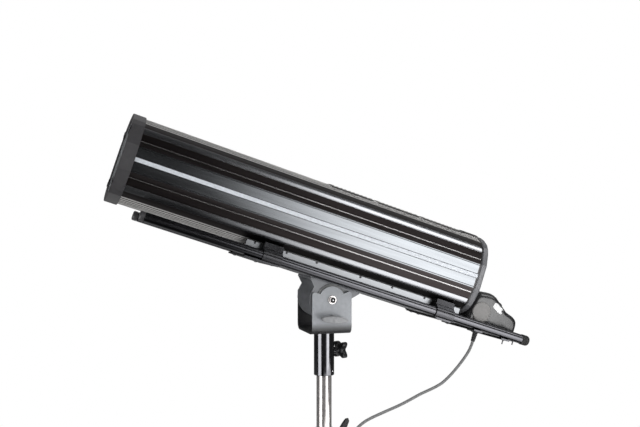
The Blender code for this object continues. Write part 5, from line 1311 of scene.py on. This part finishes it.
@dataclass
class Studio:
    """Camera, world, floor, lamps and reflection cards."""

    camera_place: tuple = (-0.6009, -1.9704, 0.6644)
    camera_yaw: float = math.radians(-16.7)
    lens: float = 50.0
    mirror_levels: tuple = (0.075, 0.60)
    floor_edge: float = 30.0
    lamp_aim: tuple = (0, 0, 0.45)
    # Name, place, size and power
    lamps: tuple = (("key", (1.9, -2.3, 2.1), 1.6, 26.0), ("fill", (-2.6, -1.4, 1.4), 1.8, 8.5),
                    ("top", (0.2, 1.4, 2.9), 2.2, 16.0), ("foot", (0.75, -0.95, 0.08), 0.3, 4.0))
    # Name, corner, first and second side, brightness, and the ramp's ends as shares of the first side
    cards: tuple = (("side_card", (0.10, -3.0, -1.30), (2.6, 0, 0), (0, 0, 2.50), 6.0, (0.02, 0.48)),
                    ("edge_card", (-1.99, -1.67, -1.30), (-0.60, 1.44, 0), (0, 0, 2.60), 5.0, (-1.0, -0.5)),
                    ("upper_card", (0.1, -0.75, 2.6), (3.2, 0, 0), (0, -1.0, -0.35), 4.4, (0.26, 0.41)),
                    ("low_card", (-0.55, -0.28, 0.004), (1.4, 0, 0), (0, -0.5, 0), 3.2, (0.12, 0.55)))

    def build(self) -> None:
        """Make the studio."""
        self.build_camera()
        self.build_world()
        self.build_floor()
        self.build_lamps()
        self.build_cards()

    def build_camera(self) -> None:
        """Camera, level, at the photograph's place."""
        data = bpy.data.cameras.new("camera")
        data.lens = self.lens
        data.sensor_width = 36.0
        data.sensor_fit = "HORIZONTAL"
        data.clip_start = 0.02
        camera = linked("camera", data)
        camera.location = self.camera_place
        camera.rotation_euler = (QUARTER_TURN, 0, self.camera_yaw)
        bpy.context.scene.camera = camera

    def build_world(self) -> None:
        """World: white to the eye and through glass, dim in reflections but for the far top and foot."""
        world = bpy.data.worlds.new("studio")
        bpy.context.scene.world = world
        world.use_nodes = True
        world.node_tree.nodes.clear()
        nodes = Nodes(world.node_tree)
        path = nodes.add("LightPath", {})
        axes = nodes.axes(nodes.add("TexCoord", {})["Generated"])
        steep = nodes.ranged(nodes.math("ABSOLUTE", axes["Z"]), 0.20, 0.65)
        behind = nodes.ranged(axes["Y"], 0.0, 0.4)
        level = nodes.ranged(nodes.times(steep, behind), 0.0, 1.0, *self.mirror_levels)
        soft = nodes.add("Background", {"Color": (0.98, 0.99, 1.0, 1.0), "Strength": 0.62})[0]
        seen = nodes.add("Background", {"Color": (1.0, 1.0, 1.0, 1.0)})[0]
        mirror = nodes.add("Background", {"Color": (1.0, 1.0, 1.0, 1.0), "Strength": level})[0]
        lit = nodes.shaders(path["Is Glossy Ray"], soft, mirror)
        eye = nodes.math("MAXIMUM", path["Is Camera Ray"], path["Is Transmission Ray"])
        nodes.add("OutputWorld", {"Surface": nodes.shaders(eye, lit, seen)})

    def build_floor(self) -> None:
        """Pale floor that runs out into white away from the object."""
        ends = np.array((-self.floor_edge, self.floor_edge))
        grid = np.stack([*np.meshgrid(ends, ends), np.zeros((2, 2))], axis=-1)
        floor = grid_piece("floor", grid, ring=False, capped=False)
        made = bpy.data.materials.new("pale_floor")
        made.use_nodes = True
        nodes = Nodes(made.node_tree)
        shader = made.node_tree.nodes["Principled BSDF"]
        shader.inputs["Roughness"].default_value = 0.9
        shader.inputs["Specular IOR Level"].default_value = 0.0
        place = nodes.place()
        tone = nodes.ranged(nodes.noise(place, 6.0, 3.0), 0.3, 0.7, 0.86, 0.89)
        nodes.tree.links.new(tone, shader.inputs["Base Color"])
        length = nodes.add("VectorMath", {0: place}, operation="LENGTH")["Value"]
        away = nodes.ranged(length, 0.30, 0.65, way="SMOOTHSTEP")
        path = nodes.add("LightPath", {})
        eye = nodes.math("MAXIMUM", path["Is Camera Ray"], path["Is Glossy Ray"])
        share = nodes.times(nodes.math("MAXIMUM", eye, path["Is Transmission Ray"]), away)
        mixed = nodes.shaders(share, shader.outputs[0], nodes.add("Emission", {})[0])
        nodes.tree.links.new(mixed, nodes.tree.nodes["Material Output"].inputs["Surface"])
        floor.data.materials.append(made)
        floor.visible_glossy = False

    def build_lamps(self) -> None:
        """Area lamps that look at the object's middle and that no reflection shows."""
        for name, place, size, power in self.lamps:
            data = bpy.data.lights.new(name, "AREA")
            data.shape = "SQUARE"
            data.size = size
            data.energy = power
            lamp = linked(name, data)
            lamp.location = place
            lamp.rotation_euler = (Vector(self.lamp_aim) - Vector(place)).to_track_quat("-Z", "Y").to_euler()
            lamp.visible_glossy = False

    def build_cards(self) -> None:
        """Reflection cards: emitting sheets, each of which brightens along its first side."""
        share = np.linspace(0, 1, 9)
        for name, corner, run, rise, strength, ramp in self.cards:
            grid = np.array(corner) + share[:, None, None] * run + share[None, :, None] * np.array(rise)
            sheet = grid_piece(name, grid, ring=False, capped=False)
            made = bpy.data.materials.new(name)
            made.use_nodes = True
            made.node_tree.nodes.clear()
            nodes = Nodes(made.node_tree)
            offset = nodes.add("VectorMath", {0: nodes.place(), 1: corner}, operation="SUBTRACT")[0]
            each = tuple(np.array(run) / float(np.dot(run, run)))
            gone = nodes.add("VectorMath", {0: offset, 1: each}, operation="DOT_PRODUCT")["Value"]
            level = nodes.times(nodes.ranged(gone, *ramp, way="SMOOTHSTEP"), strength)
            nodes.add("OutputMaterial", {"Surface": nodes.add("Emission", {"Strength": level})[0]})
            sheet.data.materials.append(made)
            for ray in ("camera", "diffuse", "transmission", "shadow", "volume_scatter"):
                setattr(sheet, f"visible_{ray}", False)


def main() -> None:
    """Build the followspot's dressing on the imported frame."""
    logging.basicConfig(level=logging.INFO, format="%(message)s")
    for item in list(bpy.data.objects):
        bpy.data.objects.remove(item)
    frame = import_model()
    bpy.context.view_layer.update()
    Studio().build()
    for assembly in (MainsLead, Mast, Yoke, Carriage, Housing, Optics, Console):
        built = assembly(frame)
        built.build()
        LOG.info("%s: %d new pieces", assembly.__name__, len(built.made))
    scene = bpy.context.scene
    scene.view_settings.view_transform = "Standard"
    bpy.context.view_layer.update()


if __name__ == "__main__":
    main()
